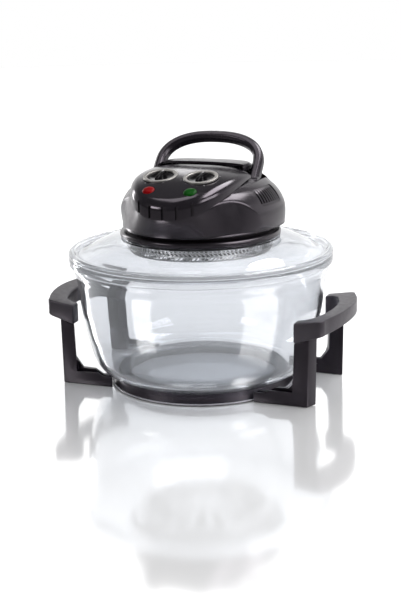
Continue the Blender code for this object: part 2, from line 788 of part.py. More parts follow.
def clamp_ring():
    low = LID_LAND_TOP + CLEARANCE
    profile = (
        (CLAMP_RADIUS - CLAMP_CHAMFER, CLAMP_TOP),
        (CLAMP_RADIUS, CLAMP_TOP - CLAMP_CHAMFER),
        (CLAMP_RADIUS, low + CLAMP_CHAMFER),
        (CLAMP_RADIUS - CLAMP_CHAMFER, low),
        (CLAMP_BORE_RADIUS, low),
        (CLAMP_BORE_RADIUS, CLAMP_TOP),
    )
    return finish(turned("clamp_ring", profile), BLACK, 0.3)


def heat_shield():
    """A pressed pot that closes the head's underside and reflects the heat down."""
    pot_inner = SHIELD_POT_RADIUS - SHEET_METAL
    profile = (
        (SHIELD_POT_RADIUS, CLAMP_TOP),
        (SHIELD_POT_RADIUS, SHIELD_FLANGE_TOP),
        (SHIELD_FLANGE_RADIUS, SHIELD_FLANGE_TOP),
        (SHIELD_FLANGE_RADIUS, SHIELD_FLANGE_TOP - SHEET_METAL),
        (pot_inner, SHIELD_FLANGE_TOP - SHEET_METAL),
        (pot_inner, CLAMP_TOP - SHEET_METAL),
        (PAN_SHAFT_HOLE, CLAMP_TOP - SHEET_METAL),
        (PAN_SHAFT_HOLE, CLAMP_TOP),
    )
    return finish(turned("heat_shield", profile), STEEL, 0.25, metallic=1.0)


def slot_set(name, bars):
    """Joins many separate bars, each (size, matrix), into one cutter."""
    bm = bmesh.new()
    for size, matrix in bars:
        bmesh.ops.create_cube(bm, size=1, matrix=matrix @ Matrix.Diagonal((*size, 1)))
    return new_object(name, bm, smooth=False)


def fan_guard():
    """A pressed dish under the heater, with slanted slots round its side and spokes below."""
    top = GUARD_FLANGE_TOP
    inner_top = GUARD_TOP_RADIUS - SHEET_METAL
    inner_foot = GUARD_FOOT_RADIUS - SHEET_METAL
    profile = (
        (GUARD_RIM_RADIUS, top),
        (GUARD_RIM_RADIUS, top - SHEET_METAL),
        (GUARD_TOP_RADIUS, top - SHEET_METAL),
        (GUARD_FOOT_RADIUS, GUARD_BOTTOM + SHEET_METAL),
        (GUARD_FOOT_RADIUS - SHEET_METAL, GUARD_BOTTOM),
        (0.0, GUARD_BOTTOM),
        (0.0, GUARD_BOTTOM + SHEET_METAL),
        (inner_foot - SHEET_METAL, GUARD_BOTTOM + SHEET_METAL),
        (inner_top, top),
    )
    guard = turned("fan_guard", profile)
    middle_z = (top + GUARD_BOTTOM) / 2
    middle_radius = (GUARD_TOP_RADIUS + GUARD_FOOT_RADIUS) / 2
    side_bars = []
    for i in range(GUARD_SLOT_COUNT):
        matrix = (
            Matrix.Rotation(math.tau * (i + 0.5) / GUARD_SLOT_COUNT, 4, "Z")
            @ Matrix.Translation((middle_radius, 0, middle_z))
            @ Matrix.Rotation(GUARD_SLOT_SLANT, 4, "X")
        )
        side_bars.append(((OVERRUN * 3, GUARD_SLOT_WIDTH, GUARD_SLOT_HEIGHT), matrix))
    spoke_bars = []
    for ring, shares in enumerate(GUARD_SLOT_END_SHARES):
        start, end = (GUARD_FOOT_RADIUS * share for share in shares)
        count = GUARD_SPOKE_COUNT // 2 * (ring + 1)
        for i in range(count):
            matrix = Matrix.Rotation(math.tau * (i + 0.5) / count, 4, "Z") @ Matrix.Translation(
                ((start + end) / 2, 0, GUARD_BOTTOM)
            )
            spoke_bars.append(((end - start, GUARD_SPOKE_SLOT, OVERRUN), matrix))
    cut(guard, slot_set("guard_side_slots", side_bars), slot_set("guard_spokes", spoke_bars))
    return finish(guard, STEEL, 0.25, metallic=1.0)


def base_pan():
    """The floor of the head, with a neck that stands on the clamp ring."""
    low = CLAMP_TOP + CLEARANCE
    profile = (
        (PAN_RIM_RADIUS - PAN_PLATE, HEAD_BOTTOM - CLEARANCE),
        (PAN_RIM_RADIUS, HEAD_BOTTOM - CLEARANCE),
        (PAN_NECK_RADIUS, low),
        (PAN_SHAFT_HOLE, low),
        (PAN_SHAFT_HOLE, low + PAN_PLATE),
        (PAN_NECK_RADIUS - PAN_PLATE, low + PAN_PLATE),
    )
    return finish(turned("base_pan", profile), BLACK, 0.4)


# Housing


def head_ring(section, grow):
    """One level of the egg-shaped head, with the wheel-arch hollow pressed into each side."""
    level, width, rear, front = section
    z = HEAD_BOTTOM + HEAD_HEIGHT * level
    if level:
        z += grow
    ring = []
    for i in range(HEAD_STEPS):
        angle = math.tau * i / HEAD_STEPS
        across, along = math.cos(angle), math.sin(angle)
        reach = HEAD_REAR * rear if along > 0 else HEAD_FRONT * front
        side_angle = math.atan2(along, abs(across))
        hollow = arch_hollow(side_angle, z - HEAD_BOTTOM)
        ring.append((
            (HEAD_HALF_WIDTH * width + grow - hollow) * across,
            HEAD_CENTRE_Y + (reach + grow - hollow) * along,
            z,
        ))
    return ring


def arch_hollow(angle, height):
    """Depth of the wheel-arch hollow, from its rounded crease down to the head's foot."""
    offset = (angle - ARCH_MIDDLE) / ARCH_HALF_SPAN
    inside = 1 - offset ** 2 - (height / ARCH_HEIGHT) ** 2
    share = min(max(inside / ARCH_FADE_SHARE, 0.0), 1.0)
    return ARCH_DEPTH * share * share * (3 - 2 * share)


def head_solid(name, grow, floor=0.0):
    """The head's outer form grown by a distance, with its floor lowered by another."""
    rings = [head_ring(section, grow) for section in HEAD_SECTION_SHARES]
    if floor:
        rings.insert(0, [(x, y, z - floor) for x, y, z in rings[0]])
    return loft(name, rings)


def visor_share(y):
    """0 at the visor's rear edge, 1 at its front."""
    return min(max((VISOR_REAR_Y - y) / VISOR_LENGTH, 0.0), 1.0)


def visor_top(x, y):
    crown = VISOR_CROWN * min(abs(x) / VISOR_HALF_WIDTH, 1.0) ** VISOR_CROWN_POWER
    drop = VISOR_TOP_DROP * visor_share(y) ** VISOR_TOP_POWER
    return VISOR_TOP_REAR - drop - crown


def visor_low(y):
    return VISOR_LOW_REAR - VISOR_LOW_DROP * visor_share(y) ** VISOR_LOW_POWER


def visor_outline(grow):
    """Plan of the shield: a long rounded front and a short squarish rear."""
    quarter = VISOR_STEPS // 4
    points = []
    for i in range(VISOR_STEPS):
        lap, step = divmod(i, quarter)
        share = step / quarter if lap % 2 == 0 else 1 - step / quarter
        sign_x = 1 if lap in (0, 3) else -1
        sign_y = 1 if lap in (0, 1) else -1
        if sign_y > 0:
            x, y = power_arc(VISOR_HALF_WIDTH + grow, VISOR_REAR + grow, VISOR_REAR_POWER, share)
        else:
            x, y = power_arc(VISOR_HALF_WIDTH + grow, VISOR_FRONT + grow, VISOR_FRONT_POWER, share)
        points.append((sign_x * x, VISOR_WIDEST_Y + sign_y * y))
    return points


def visor_solid(name, grow, floor=0.0, rise=0.0):
    """The visor's outer form grown all round, with its underside lowered and its top raised."""
    outline = visor_outline(grow)

    def ring(share, on_top, fall=0.0):
        points = []
        for x, y in outline:
            px = x * share
            py = VISOR_LOFT_CENTRE_Y + (y - VISOR_LOFT_CENTRE_Y) * share
            top, low = visor_top(px, py), visor_low(py)
            edge = min(VISOR_EDGE, (top - low) * VISOR_EDGE_SHARE)
            z = top + grow + rise - edge * fall if on_top else low - grow - floor
            points.append((px, py, z))
        return points

    rings = [ring(share, False) for share in VISOR_RING_SHARES]
    rings.append(ring(1, False))
    for i in range(VISOR_ROUND_STEPS):
        turn = math.pi / 2 * i / VISOR_ROUND_STEPS
        inset = VISOR_EDGE * (1 - math.cos(turn)) / VISOR_HALF_WIDTH
        rings.append(ring(1 - inset, True, 1 - math.sin(turn)))
    rings += [ring(share, True) for share in reversed(VISOR_RING_SHARES)]
    return loft(name, rings)


def panel_frame(x, y):
    """A frame on the visor's face: its Z axis stands square to the face."""
    step = VISOR_WALL
    slope = math.atan2(visor_top(x, y + step) - visor_top(x, y - step), 2 * step)
    return Matrix.Translation((x, y, visor_top(x, y))) @ Matrix.Rotation(slope, 4, "X")


def on_panel(obj, x, y):
    return place(obj, panel_frame(x, y))


def control_visor():
    visor = visor_solid("control_visor", 0.0)
    cut(visor, visor_solid("visor_hollow", -VISOR_WALL, VISOR_WALL * 2))
    for side in (-1, 1):
        boss = cylinder(f"dial_boss_{side}", BOSS_RADIUS, -BOSS_DEPTH, -VISOR_WALL / 2)
        join(visor, on_panel(boss, side * DIAL_X, DIAL_Y))
    for side in (-1, 1):
        seat_depth = BEZEL_HEIGHT - BEZEL_PROUD + CLEARANCE
        seat = cylinder(f"bezel_seat_{side}", BEZEL_RADIUS + CLEARANCE, -seat_depth, OVERRUN)
        well = cylinder(f"dial_well_{side}", BEZEL_BORE_RADIUS, -DIAL_WELL, OVERRUN)
        bore = cylinder(
            f"spindle_bore_{side}", SPINDLE_RADIUS + CLEARANCE, -BOSS_DEPTH - OVERRUN, OVERRUN
        )
        lamp_hole = cylinder(
            f"lamp_hole_{side}", LENS_STEM_RADIUS + CLEARANCE, -VISOR_WALL - OVERRUN, OVERRUN
        )
        for tool in (seat, well, bore):
            on_panel(tool, side * DIAL_X, DIAL_Y)
        on_panel(lamp_hole, side * LAMP_X, LAMP_Y)
        cut(visor, seat, well, bore, lamp_hole)
    cut(visor, slot_set("front_grooves", groove_bars()))
    return finish(visor, HOUSING, 0.3)


def groove_bars():
    """Upright grooves spread along the visor's front edge."""
    bars = []
    for i in range(GROOVE_COUNT):
        x = (i - (GROOVE_COUNT - 1) / 2) * GROOVE_PITCH
        side = (abs(x) / VISOR_HALF_WIDTH) ** VISOR_FRONT_POWER
        y = VISOR_WIDEST_Y - VISOR_FRONT * (1 - side) ** (1 / VISOR_FRONT_POWER)
        z = visor_low(y) + GROOVE_HEIGHT / 2
        turn = math.atan2(x, VISOR_WIDEST_Y - y) * VISOR_HALF_WIDTH / VISOR_FRONT
        matrix = Matrix.Translation((x, y, z)) @ Matrix.Rotation(turn, 4, "Z")
        bars.append(((GROOVE_WIDTH, GROOVE_DEPTH * 2, GROOVE_HEIGHT), matrix))
    return bars


def vent_matrix(side):
    turn = VENT_ANGLE if side > 0 else math.pi - VENT_ANGLE
    return Matrix.Translation((0, HEAD_CENTRE_Y, 0)) @ Matrix.Rotation(turn, 4, "Z")


def vent_block(name, side, shrink):
    low = (HEAD_REAR / 2, -VENT_WIDTH / 2 + shrink, VENT_LOW + shrink)
    high = (HEAD_FRONT, VENT_WIDTH / 2 - shrink, VENT_LOW + VENT_HEIGHT - shrink)
    return place(span_box(name, low, high), vent_matrix(side))


def vent(name, side, outer, inner):
    """A louvred insert that follows the housing, set a little below its surface."""
    obj = vent_block(name, side, CLEARANCE)
    boolean(obj, outer, "INTERSECT")
    boolean(obj, inner, "DIFFERENCE")
    bars = []
    height = VENT_HEIGHT - VENT_FRAME * 2
    for i in range(VENT_SLOT_COUNT):
        offset = (i - (VENT_SLOT_COUNT - 1) / 2) * VENT_SLOT_PITCH
        matrix = vent_matrix(side) @ Matrix.Translation(
            (HEAD_HALF_WIDTH, offset, VENT_LOW + VENT_HEIGHT / 2)
        )
        bars.append(((HEAD_HALF_WIDTH, VENT_SLOT_WIDTH, height), matrix))
    cut(obj, slot_set(name + "_slots", bars))
    return finish(obj, BLACK, 0.5)


def rear_shell():
    shell = head_solid("rear_shell", 0.0)
    hollow = head_solid("head_hollow", -SHELL_WALL, OVERRUN)
    cut(shell, hollow)
    head_over = HEAD_BOTTOM + HEAD_HEIGHT + OVERRUN
    for side in (-1, 1):
        half_slot = HANDLE_WIDTH / 2 + HANDLE_SLOT_GAP
        slot = span_box(
            f"handle_slot_{side}",
            (side * HANDLE_HALF_SPAN - half_slot, PIVOT_Y - HANDLE_SLOT_FRONT, PIVOT_Z - OVERRUN),
            (side * HANDLE_HALF_SPAN + half_slot, PIVOT_Y + HANDLE_SLOT_REAR, head_over),
        )
        cut(shell, slot, vent_block(f"vent_opening_{side}", side, 0.0))
    channel = span_box(
        "rear_channel",
        (-REAR_CHANNEL_HALF_WIDTH, VISOR_REAR_Y - OVERRUN, PIVOT_Z),
        (REAR_CHANNEL_HALF_WIDTH, VISOR_REAR_Y + REAR_CHANNEL_WIDTH, head_over),
    )
    inlet_hole = cylinder("inlet_hole", INLET_RADIUS + CLEARANCE, HEAD_REAR / 2, HEAD_REAR * 2)
    visor_room = visor_solid("visor_room", CLEARANCE, rise=VISOR_EDGE)
    cut(shell, visor_room, channel, place(inlet_hole, inlet_matrix()))
    outer = as_cutter(head_solid("vent_outer", -VENT_SUNK))
    inner = as_cutter(head_solid("vent_inner", -VENT_SUNK - VENT_FRAME, OVERRUN))
    vent("vent_left", -1, outer, inner)
    vent("vent_right", 1, outer, inner)
    return finish(shell, HOUSING, 0.3)


def inlet_matrix():
    """Turns Z to point out of the back at the cord inlet's height."""
    return Matrix.Translation((0, 0, INLET_Z)) @ Matrix.Rotation(-math.pi / 2, 4, "X")


def cord_inlet():
    wall = HEAD_CENTRE_Y + HEAD_REAR + CLEARANCE
    profile = (
        (INLET_BORE_RADIUS + INLET_TAIL_WALL, wall + INLET_TAIL),
        (INLET_RADIUS, wall + INLET_FLANGE),
        (INLET_RADIUS + INLET_COLLAR, wall + INLET_FLANGE),
        (INLET_RADIUS + INLET_COLLAR, wall),
        (INLET_RADIUS, wall),
        (INLET_RADIUS, wall - INLET_TAIL),
        (INLET_BORE_RADIUS, wall - INLET_TAIL),
        (INLET_BORE_RADIUS, wall + INLET_TAIL),
    )
    obj = turned("cord_inlet", profile, SMALL_STEPS)
    obj.matrix_world = inlet_matrix()
    return finish(obj, BLACK, 0.6)


# Controls


def knob(name, side):
    """A glossy disc with a raised bar across it, on a spindle that enters from below."""
    low = -DIAL_WELL + CLEARANCE
    disc_top = low + KNOB_DISC
    disc = cylinder(name, KNOB_RADIUS, low, disc_top)
    length = 2 * KNOB_RADIUS * KNOB_GRIP_SHARE
    half, point = KNOB_GRIP_WIDTH / 2, KNOB_GRIP_WIDTH / 3
    outline = (
        (-half, -length / 2 + half), (-point, -length / 2), (point, -length / 2),
        (half, -length / 2 + half), (half, length / 2 - half), (point, length / 2),
        (-point, length / 2), (-half, length / 2 - half),
    )
    bar = plate(name + "_bar", outline, KNOB_GRIP_HEIGHT, CLEARANCE * 4)
    place(bar, Matrix.Translation((0, 0, disc_top + KNOB_GRIP_HEIGHT / 2 - KNOB_SINK)))
    socket = cylinder(name + "_socket", SPINDLE_RADIUS + CLEARANCE, low - OVERRUN, low + SPINDLE_SEAT)
    for piece in (disc, bar, socket):
        on_panel(piece, side * DIAL_X, DIAL_Y)
    join(disc, bar)
    cut(disc, socket)
    return finish(disc, BLACK, 0.1)


def spindle(name, side):
    top = -DIAL_WELL + SPINDLE_SEAT
    low = -BOSS_DEPTH - SPINDLE_SOCKET + CLEARANCE
    rod = cylinder(name, SPINDLE_RADIUS, low, top)
    return finish(on_panel(rod, side * DIAL_X, DIAL_Y), STEEL, 0.3, metallic=1.0)


def spindle_socket(name, side):
    bore = cylinder(
        name, SPINDLE_RADIUS + RUNNING_FIT, -BOSS_DEPTH - SPINDLE_SOCKET, -BOSS_DEPTH + OVERRUN
    )
    return on_panel(bore, side * DIAL_X, DIAL_Y)


def bezel(name, side):
    low = -(BEZEL_HEIGHT - BEZEL_PROUD)
    profile = (
        (BEZEL_RADIUS - BEZEL_PROUD, BEZEL_PROUD),
        (BEZEL_RADIUS, BEZEL_PROUD / 3),
        (BEZEL_RADIUS, low),
        (BEZEL_BORE_RADIUS, low),
        (BEZEL_BORE_RADIUS, BEZEL_PROUD / 2),
        (BEZEL_BORE_RADIUS + BEZEL_PROUD / 2, BEZEL_PROUD),
    )
    obj = turned(name, profile, SMALL_STEPS)
    obj.matrix_world = panel_frame(side * DIAL_X, DIAL_Y)
    return finish(obj, STEEL, 0.2, metallic=1.0)


def lens(name, side, colour):
    profile = (
        *((LENS_RADIUS * radius, LENS_PROUD * height) for radius, height in LENS_DOME_SHARES),
        (LENS_RADIUS, CLEARANCE),
        (LENS_STEM_RADIUS, CLEARANCE),
        (LENS_STEM_RADIUS, -LENS_STEM),
        (0.0, -LENS_STEM),
    )
    obj = turned(name, profile, SMALL_STEPS)
    obj.matrix_world = panel_frame(side * LAMP_X, LAMP_Y)
    return finish(obj, colour, 0.15, transmission=0.3)


def lamp(name, side):
    top = -LENS_STEM - CLEARANCE
    body = cylinder(name, LAMP_RADIUS, top - LAMP_LENGTH, top)
    return finish(on_panel(body, side * LAMP_X, LAMP_Y), WHITE_CERAMIC, 0.5)


def controls():
    for side, name in ((-1, "timer"), (1, "temperature")):
        bezel(name + "_bezel", side)
        knob(name + "_knob", side)
        spindle(name + "_spindle", side)
    top = -BOSS_DEPTH - CLEARANCE
    timer = box("timer_movement", TIMER_SIZE, (0, 0, top - TIMER_SIZE[2] / 2))
    cut(on_panel(timer, -DIAL_X, DIAL_Y), spindle_socket("timer_bore", -1))
    finish(timer, STEEL, 0.4, metallic=1.0)
    thermostat = cylinder("thermostat", THERMOSTAT_RADIUS, top - THERMOSTAT_DEPTH, top)
    cut(on_panel(thermostat, DIAL_X, DIAL_Y), spindle_socket("thermostat_bore", 1))
    finish(thermostat, WHITE_CERAMIC, 0.5)
    lens("lens_red", -1, RED)
    lens("lens_green", 1, GREEN)
    lamp("lamp_left", -1)
    lamp("lamp_right", 1)


# Carry handle


def handle_path():
    """Points (x, distance from the pivot axis, outward turn) along the arch, right foot to left."""
    rise = HANDLE_REACH - HANDLE_STRAIGHT
    foot = -CAM_RADIUS * HANDLE_FOOT_SHARE
    right = [(HANDLE_HALF_SPAN, foot), (HANDLE_HALF_SPAN, HANDLE_STRAIGHT / 2)]
    for i in range(HANDLE_BEND_STEPS + 1):
        x, y = power_arc(HANDLE_HALF_SPAN, rise, HANDLE_BEND_POWER, i / HANDLE_BEND_STEPS)
        right.append((x, HANDLE_STRAIGHT + y))
    return right + [(-x, y) for x, y in reversed(right[:-1])]


def handle_section():
    """Half the bar's section as offsets across and through it, all round."""
    across, through = HANDLE_WIDTH / 2, HANDLE_DEPTH / 2
    chamfer = HANDLE_WIDTH * HANDLE_CHAMFER_SHARE
    return (
        (across, through - chamfer), (across, -through + chamfer),
        (across - chamfer, -through), (-across + chamfer, -through),
        (-across, -through + chamfer), (-across, through - chamfer),
        (-across + chamfer, through), (across - chamfer, through),
    )


def handle_frame():
    """Places a shape drawn upright over the pivot axis at the handle's lean."""
    return Matrix.Translation((0, PIVOT_Y, PIVOT_Z)) @ Matrix.Rotation(-HANDLE_LEAN, 4, "X")


def carry_handle():
    path = handle_path()
    rings = []
    for i, (x, rise) in enumerate(path):
        before, after = path[max(i - 1, 0)], path[min(i + 1, len(path) - 1)]
        along = Vector((after[0] - before[0], after[1] - before[1])).normalized()
        out = Vector((along.y, -along.x))
        rings.append([
            (x + out.x * across, through, rise + out.y * across)
            for across, through in handle_section()
        ])
    handle = loft("carry_handle", rings)
    for side in (-1, 1):
        join(handle, cam(f"cam_{side}", side))
        bore = cylinder(
            f"pin_bore_{side}", PIN_RADIUS + RUNNING_FIT, -HANDLE_WIDTH, HANDLE_WIDTH
        )
        sideways = Matrix.Translation((side * HANDLE_HALF_SPAN, 0, 0))
        cut(handle, place(bore, sideways @ Matrix.Rotation(math.pi / 2, 4, "Y")))
    for piece in [handle] + [m.object for m in handle.modifiers]:
        place(piece, handle_frame())
    return finish(handle, BLACK, 0.35)


def cam(name, side):
    """A spiral lobe round the pivot, whose radius grows steadily as the handle folds back."""
    outline = []
    for i in range(CAM_STEPS):
        angle = math.tau * i / CAM_STEPS
        from_rest = (angle - math.pi * 1.5 - HANDLE_LEAN + math.pi) % math.tau - math.pi
        swing = min(max(from_rest, -CAM_SPREAD), CAM_SPREAD)
        radius = CAM_RADIUS + CAM_RISE_PER_RADIAN * swing
        outline.append((radius * math.cos(angle), radius * math.sin(angle)))
    lobe = plate(name, outline, HANDLE_WIDTH - CAM_INSET * 2)
    upright = Matrix(((0, 0, 1, 0), (1, 0, 0, 0), (0, 1, 0, 0), (0, 0, 0, 1)))
    return place(lobe, Matrix.Translation((side * HANDLE_HALF_SPAN, 0, 0)) @ upright)


def yoke(name, side):
    """A bracket inside the housing whose two cheeks hold the handle's pivot pin."""
    inner = HANDLE_HALF_SPAN - HANDLE_WIDTH / 2 - CLEARANCE - CHEEK
    outer = HANDLE_HALF_SPAN + HANDLE_WIDTH / 2 + CLEARANCE + CHEEK
    front, rear = PIVOT_Y - YOKE_DEPTH / 2, PIVOT_Y + YOKE_DEPTH / 2
    foot = PAN_FLOOR + CLEARANCE
    body = span_box(name, (inner, front, YOKE_FLOOR), (outer, rear, YOKE_TOP))
    gap = span_box(
        name + "_gap",
        (inner + CHEEK, front - OVERRUN, YOKE_FLOOR + CHEEK),
        (outer - CHEEK, rear + OVERRUN, YOKE_TOP + OVERRUN),
    )
    column = span_box(
        name + "_column",
        (HANDLE_HALF_SPAN - COLUMN_WIDTH / 2, PIVOT_Y - COLUMN_WIDTH / 2, foot),
        (HANDLE_HALF_SPAN + COLUMN_WIDTH / 2, PIVOT_Y + COLUMN_WIDTH / 2, YOKE_FLOOR + CHEEK / 2),
    )
    if side < 0:
        for piece in (body, gap, column):
            piece.data.transform(Matrix.Diagonal((-1, 1, 1, 1)))
            piece.data.flip_normals()
    cut(body, gap)
    join(body, column)
    cut(body, pin_rod(name + "_bore", side, CLEARANCE, OVERRUN))
    return finish(body, BLACK, 0.6)


def pin_rod(name, side, grow, longer=0.0):
    half = HANDLE_WIDTH / 2 + CHEEK + longer
    rod = cylinder(name, PIN_RADIUS + grow, -half, half)
    sideways = Matrix.Translation((side * HANDLE_HALF_SPAN, PIVOT_Y, PIVOT_Z))
    return place(rod, sideways @ Matrix.Rotation(math.pi / 2, 4, "Y"))


def safety_switch():
    """A small switch on the left yoke's floor, pressed by the cam as the handle lies back."""
    height = SWITCH_SIZE[2]
    low = YOKE_FLOOR + CHEEK + CLEARANCE
    body = box("safety_switch", SWITCH_SIZE, (-HANDLE_HALF_SPAN, PIVOT_Y, low + height / 2))
    top = low + height
    bore_floor = top - height * PLUNGER_BORE_SHARE
    bore = cylinder("plunger_bore", PLUNGER_RADIUS + RUNNING_FIT, bore_floor, top + OVERRUN)
    place(bore, Matrix.Translation((-HANDLE_HALF_SPAN, PIVOT_Y, 0)))
    cut(body, bore)
    finish(body, BLACK, 0.5)
    plunger_top = PIVOT_Z - CAM_RADIUS - CLEARANCE
    plunger_low = bore_floor + PLUNGER_TRAVEL_ROOM
    plunger = cylinder("switch_plunger", PLUNGER_RADIUS, plunger_low, plunger_top)
    place(plunger, Matrix.Translation((-HANDLE_HALF_SPAN, PIVOT_Y, 0)))
    finish(plunger, RED, 0.4)


def handle_parts():
    carry_handle()
    for side, name in ((-1, "left"), (1, "right")):
        yoke("handle_yoke_" + name, side)
        finish(pin_rod("pivot_pin_" + name, side, 0.0), STEEL, 0.3, metallic=1.0)
    safety_switch()


# Motor, fans and heater


def motor_bracket():
    bracket = cylinder("motor_bracket", BRACKET_RADIUS, BRACKET_TOP - BRACKET_PLATE, BRACKET_TOP)
    for i in range(BRACKET_POSTS):
        turn = math.tau * i / BRACKET_POSTS
        post = cylinder(
            f"bracket_post_{i}", BRACKET_POST_RADIUS, PAN_FLOOR + CLEARANCE,
            BRACKET_TOP - BRACKET_PLATE / 2, POST_STEPS,
        )
        outwards = Matrix.Translation((BRACKET_RADIUS - BRACKET_POST_INSET, 0, 0))
        join(bracket, place(post, Matrix.Rotation(turn, 4, "Z") @ outwards))
    hole = cylinder("bracket_hole", PAN_SHAFT_HOLE, PAN_FLOOR, BRACKET_TOP + OVERRUN)
    cut(bracket, hole)
    return finish(bracket, STEEL, 0.4, metallic=1.0)


def motor():
    low = BRACKET_TOP + CLEARANCE
    bore = SHAFT_RADIUS + RUNNING_FIT
    profile = (
        (MOTOR_RADIUS * MOTOR_SHOULDER_SHARE, low + MOTOR_HEIGHT),
        (MOTOR_RADIUS, low + MOTOR_HEIGHT * MOTOR_SHOULDER_SHARE),
        (MOTOR_RADIUS, low),
        (bore, low),
        (bore, low + MOTOR_HEIGHT),
    )
    return finish(turned("motor", profile, SMALL_STEPS), STEEL, 0.4, metallic=1.0)


def fan(name, radius, low, height, colour, metallic):
    """A pressed impeller: a hub and disc with upright radial blades."""
    bore = SHAFT_RADIUS + CLEARANCE
    profile = (
        (HUB_RADIUS, low + height),
        (HUB_RADIUS, low + FAN_DISC),
        (radius * FAN_DISC_SHARE, low + FAN_DISC),
        (radius * FAN_DISC_SHARE, low),
        (bore, low),
        (bore, low + height),
    )
    wheel = turned(name, profile, SMALL_STEPS)
    start = HUB_RADIUS * FAN_DISC_SHARE
    outwards = Matrix.Translation(((start + radius) / 2, 0, low + height / 2))
    bars = []
    for i in range(BLADE_COUNT):
        turn = math.tau * (i + FAN_PHASE_SHARE) / BLADE_COUNT
        matrix = Matrix.Rotation(turn, 4, "Z") @ outwards
        bars.append(((radius - start, BLADE_THICKNESS, height - FAN_DISC / 2), matrix))
    join(wheel, slot_set(name + "_blades", bars))
    return finish(wheel, colour, 0.35, metallic=metallic)


def arc_points(radius, z, start, sweep, steps):
    return [
        (
            radius * math.cos(start + sweep * i / steps),
            radius * math.sin(start + sweep * i / steps),
            z,
        )
        for i in range(steps + 1)
    ]


def heater():
    """A ring lamp whose two ends are held in ceramic blocks under the shield."""
    start = math.pi / 2 + TUBE_GAP / 2
    sweep = math.tau - TUBE_GAP
    ring = tube(
        "halogen_tube", arc_points(TUBE_RING_RADIUS, TUBE_Z, start, sweep, TUBE_STEPS), TUBE_RADIUS
    )
    finish(ring, GLASS, 0.1, transmission=0.6)
    room = tube(
        "tube_room", arc_points(TUBE_RING_RADIUS, TUBE_Z, start, sweep, TUBE_STEPS),
        TUBE_RADIUS + CLEARANCE,
    )
    top = CLAMP_TOP - SHEET_METAL - CLEARANCE
    for side, name in ((1, "left"), (-1, "right")):
        middle = (TUBE_RING_RADIUS, 0, (HOLDER_BOTTOM + top) / 2)
        block = box("tube_holder_" + name, (HOLDER_DEPTH, HOLDER_WIDTH, top - HOLDER_BOTTOM), middle)
        turn = math.pi / 2 + side * (TUBE_GAP / 2 - HOLDER_SETBACK / 2)
        place(block, Matrix.Rotation(turn, 4, "Z"))
        cut(block, room)
        finish(block, WHITE_CERAMIC, 0.6)


def drive():
    motor_bracket()
    motor()
    shaft = cylinder("motor_shaft", SHAFT_RADIUS, SHAFT_BOTTOM, SHAFT_TOP)
    finish(shaft, STEEL, 0.25, metallic=1.0)
    fan("convection_fan", CONVECTION_FAN_RADIUS, CONVECTION_FAN_LOW, CONVECTION_FAN_HEIGHT, STEEL, 1.0)
    fan("cooling_fan", COOLING_FAN_RADIUS, COOLING_FAN_LOW, COOLING_FAN_HEIGHT, BLACK, 0.0)


def terminal_block():
    depth, height = TERMINAL_SIZE[1:]
    rear = HEAD_CENTRE_Y + HEAD_REAR - TERMINAL_GAP_TO_WALL
    low = PAN_FLOOR + CLEARANCE
    obj = box("terminal_block", TERMINAL_SIZE, (0, rear - depth / 2, low + height / 2))
    return finish(obj, WHITE_CERAMIC, 0.6)


def head():
    clamp_ring()
    heat_shield()
    fan_guard()
    base_pan()
    rear_shell()
    control_visor()
    cord_inlet()
    controls()
    handle_parts()
    heater()
    drive()
    terminal_block()


stand()
glass_bowl()
glass_lid()
head()
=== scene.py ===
import math

import bmesh
import bpy
from mathutils import Matrix, Vector


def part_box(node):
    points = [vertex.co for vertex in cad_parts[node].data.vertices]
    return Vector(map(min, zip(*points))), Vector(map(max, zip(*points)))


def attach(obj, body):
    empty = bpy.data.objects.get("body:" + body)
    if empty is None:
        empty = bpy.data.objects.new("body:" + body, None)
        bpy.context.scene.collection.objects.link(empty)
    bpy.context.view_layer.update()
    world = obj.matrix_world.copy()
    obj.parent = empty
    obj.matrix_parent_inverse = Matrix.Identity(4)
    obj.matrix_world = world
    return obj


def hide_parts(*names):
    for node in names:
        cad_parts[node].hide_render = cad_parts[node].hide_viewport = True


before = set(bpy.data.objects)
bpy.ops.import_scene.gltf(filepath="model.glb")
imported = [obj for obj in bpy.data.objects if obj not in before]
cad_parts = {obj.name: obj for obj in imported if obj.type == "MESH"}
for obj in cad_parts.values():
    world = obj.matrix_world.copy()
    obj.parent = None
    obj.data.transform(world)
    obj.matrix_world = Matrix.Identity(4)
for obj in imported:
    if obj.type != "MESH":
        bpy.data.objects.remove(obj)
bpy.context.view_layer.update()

# The photograph's frame, and the camera that its circles and feet give, in radians and metres
FRAME_PX = (401, 601)
CENTRE_PX = (201.287, 265.504)
FOCAL_PX = 1284.5
CAMERA_AZIMUTH = 0.3732
CAMERA_ELEVATION = 0.2230
CAMERA_ROLL = -0.0192
CAMERA_DISTANCE = 1.6487
CAMERA_TARGET = Vector((0, 0, 0.15))
SENSOR_MM = 36

MM = 0.001
WELD = 0.01 * MM
GAP = 0.3 * MM
SHADE_ANGLE = math.radians(32)
EDGE_ANGLE = math.radians(20)
AXIS = (0, 0)
BOWL_RIM, _, BOWL_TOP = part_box("glass_bowl")[1]

model = bpy.data.collections.new("oven_looks")
helpers = bpy.data.collections.new("cutting_tools")
studio = bpy.data.collections.new("studio")
for collection in (model, helpers, studio):
    bpy.context.scene.collection.children.link(collection)


# Meshes


def curve_through(points, steps):
    """A smooth line through a few points, as a Catmull-Rom curve with some steps between them."""
    ends = [points[0]] + list(points) + [points[-1]]
    line = []
    for a, b, c, d in zip(ends, ends[1:], ends[2:], ends[3:]):
        for i in range(steps):
            t = i / steps
            line.append(tuple(
                0.5 * (2 * q + (r - p) * t + (2 * p - 5 * q + 4 * r - s) * t * t
                       + (3 * q - p - 3 * r + s) * t ** 3)
                for p, q, r, s in zip(a, b, c, d)
            ))
    return line + [tuple(points[-1])]


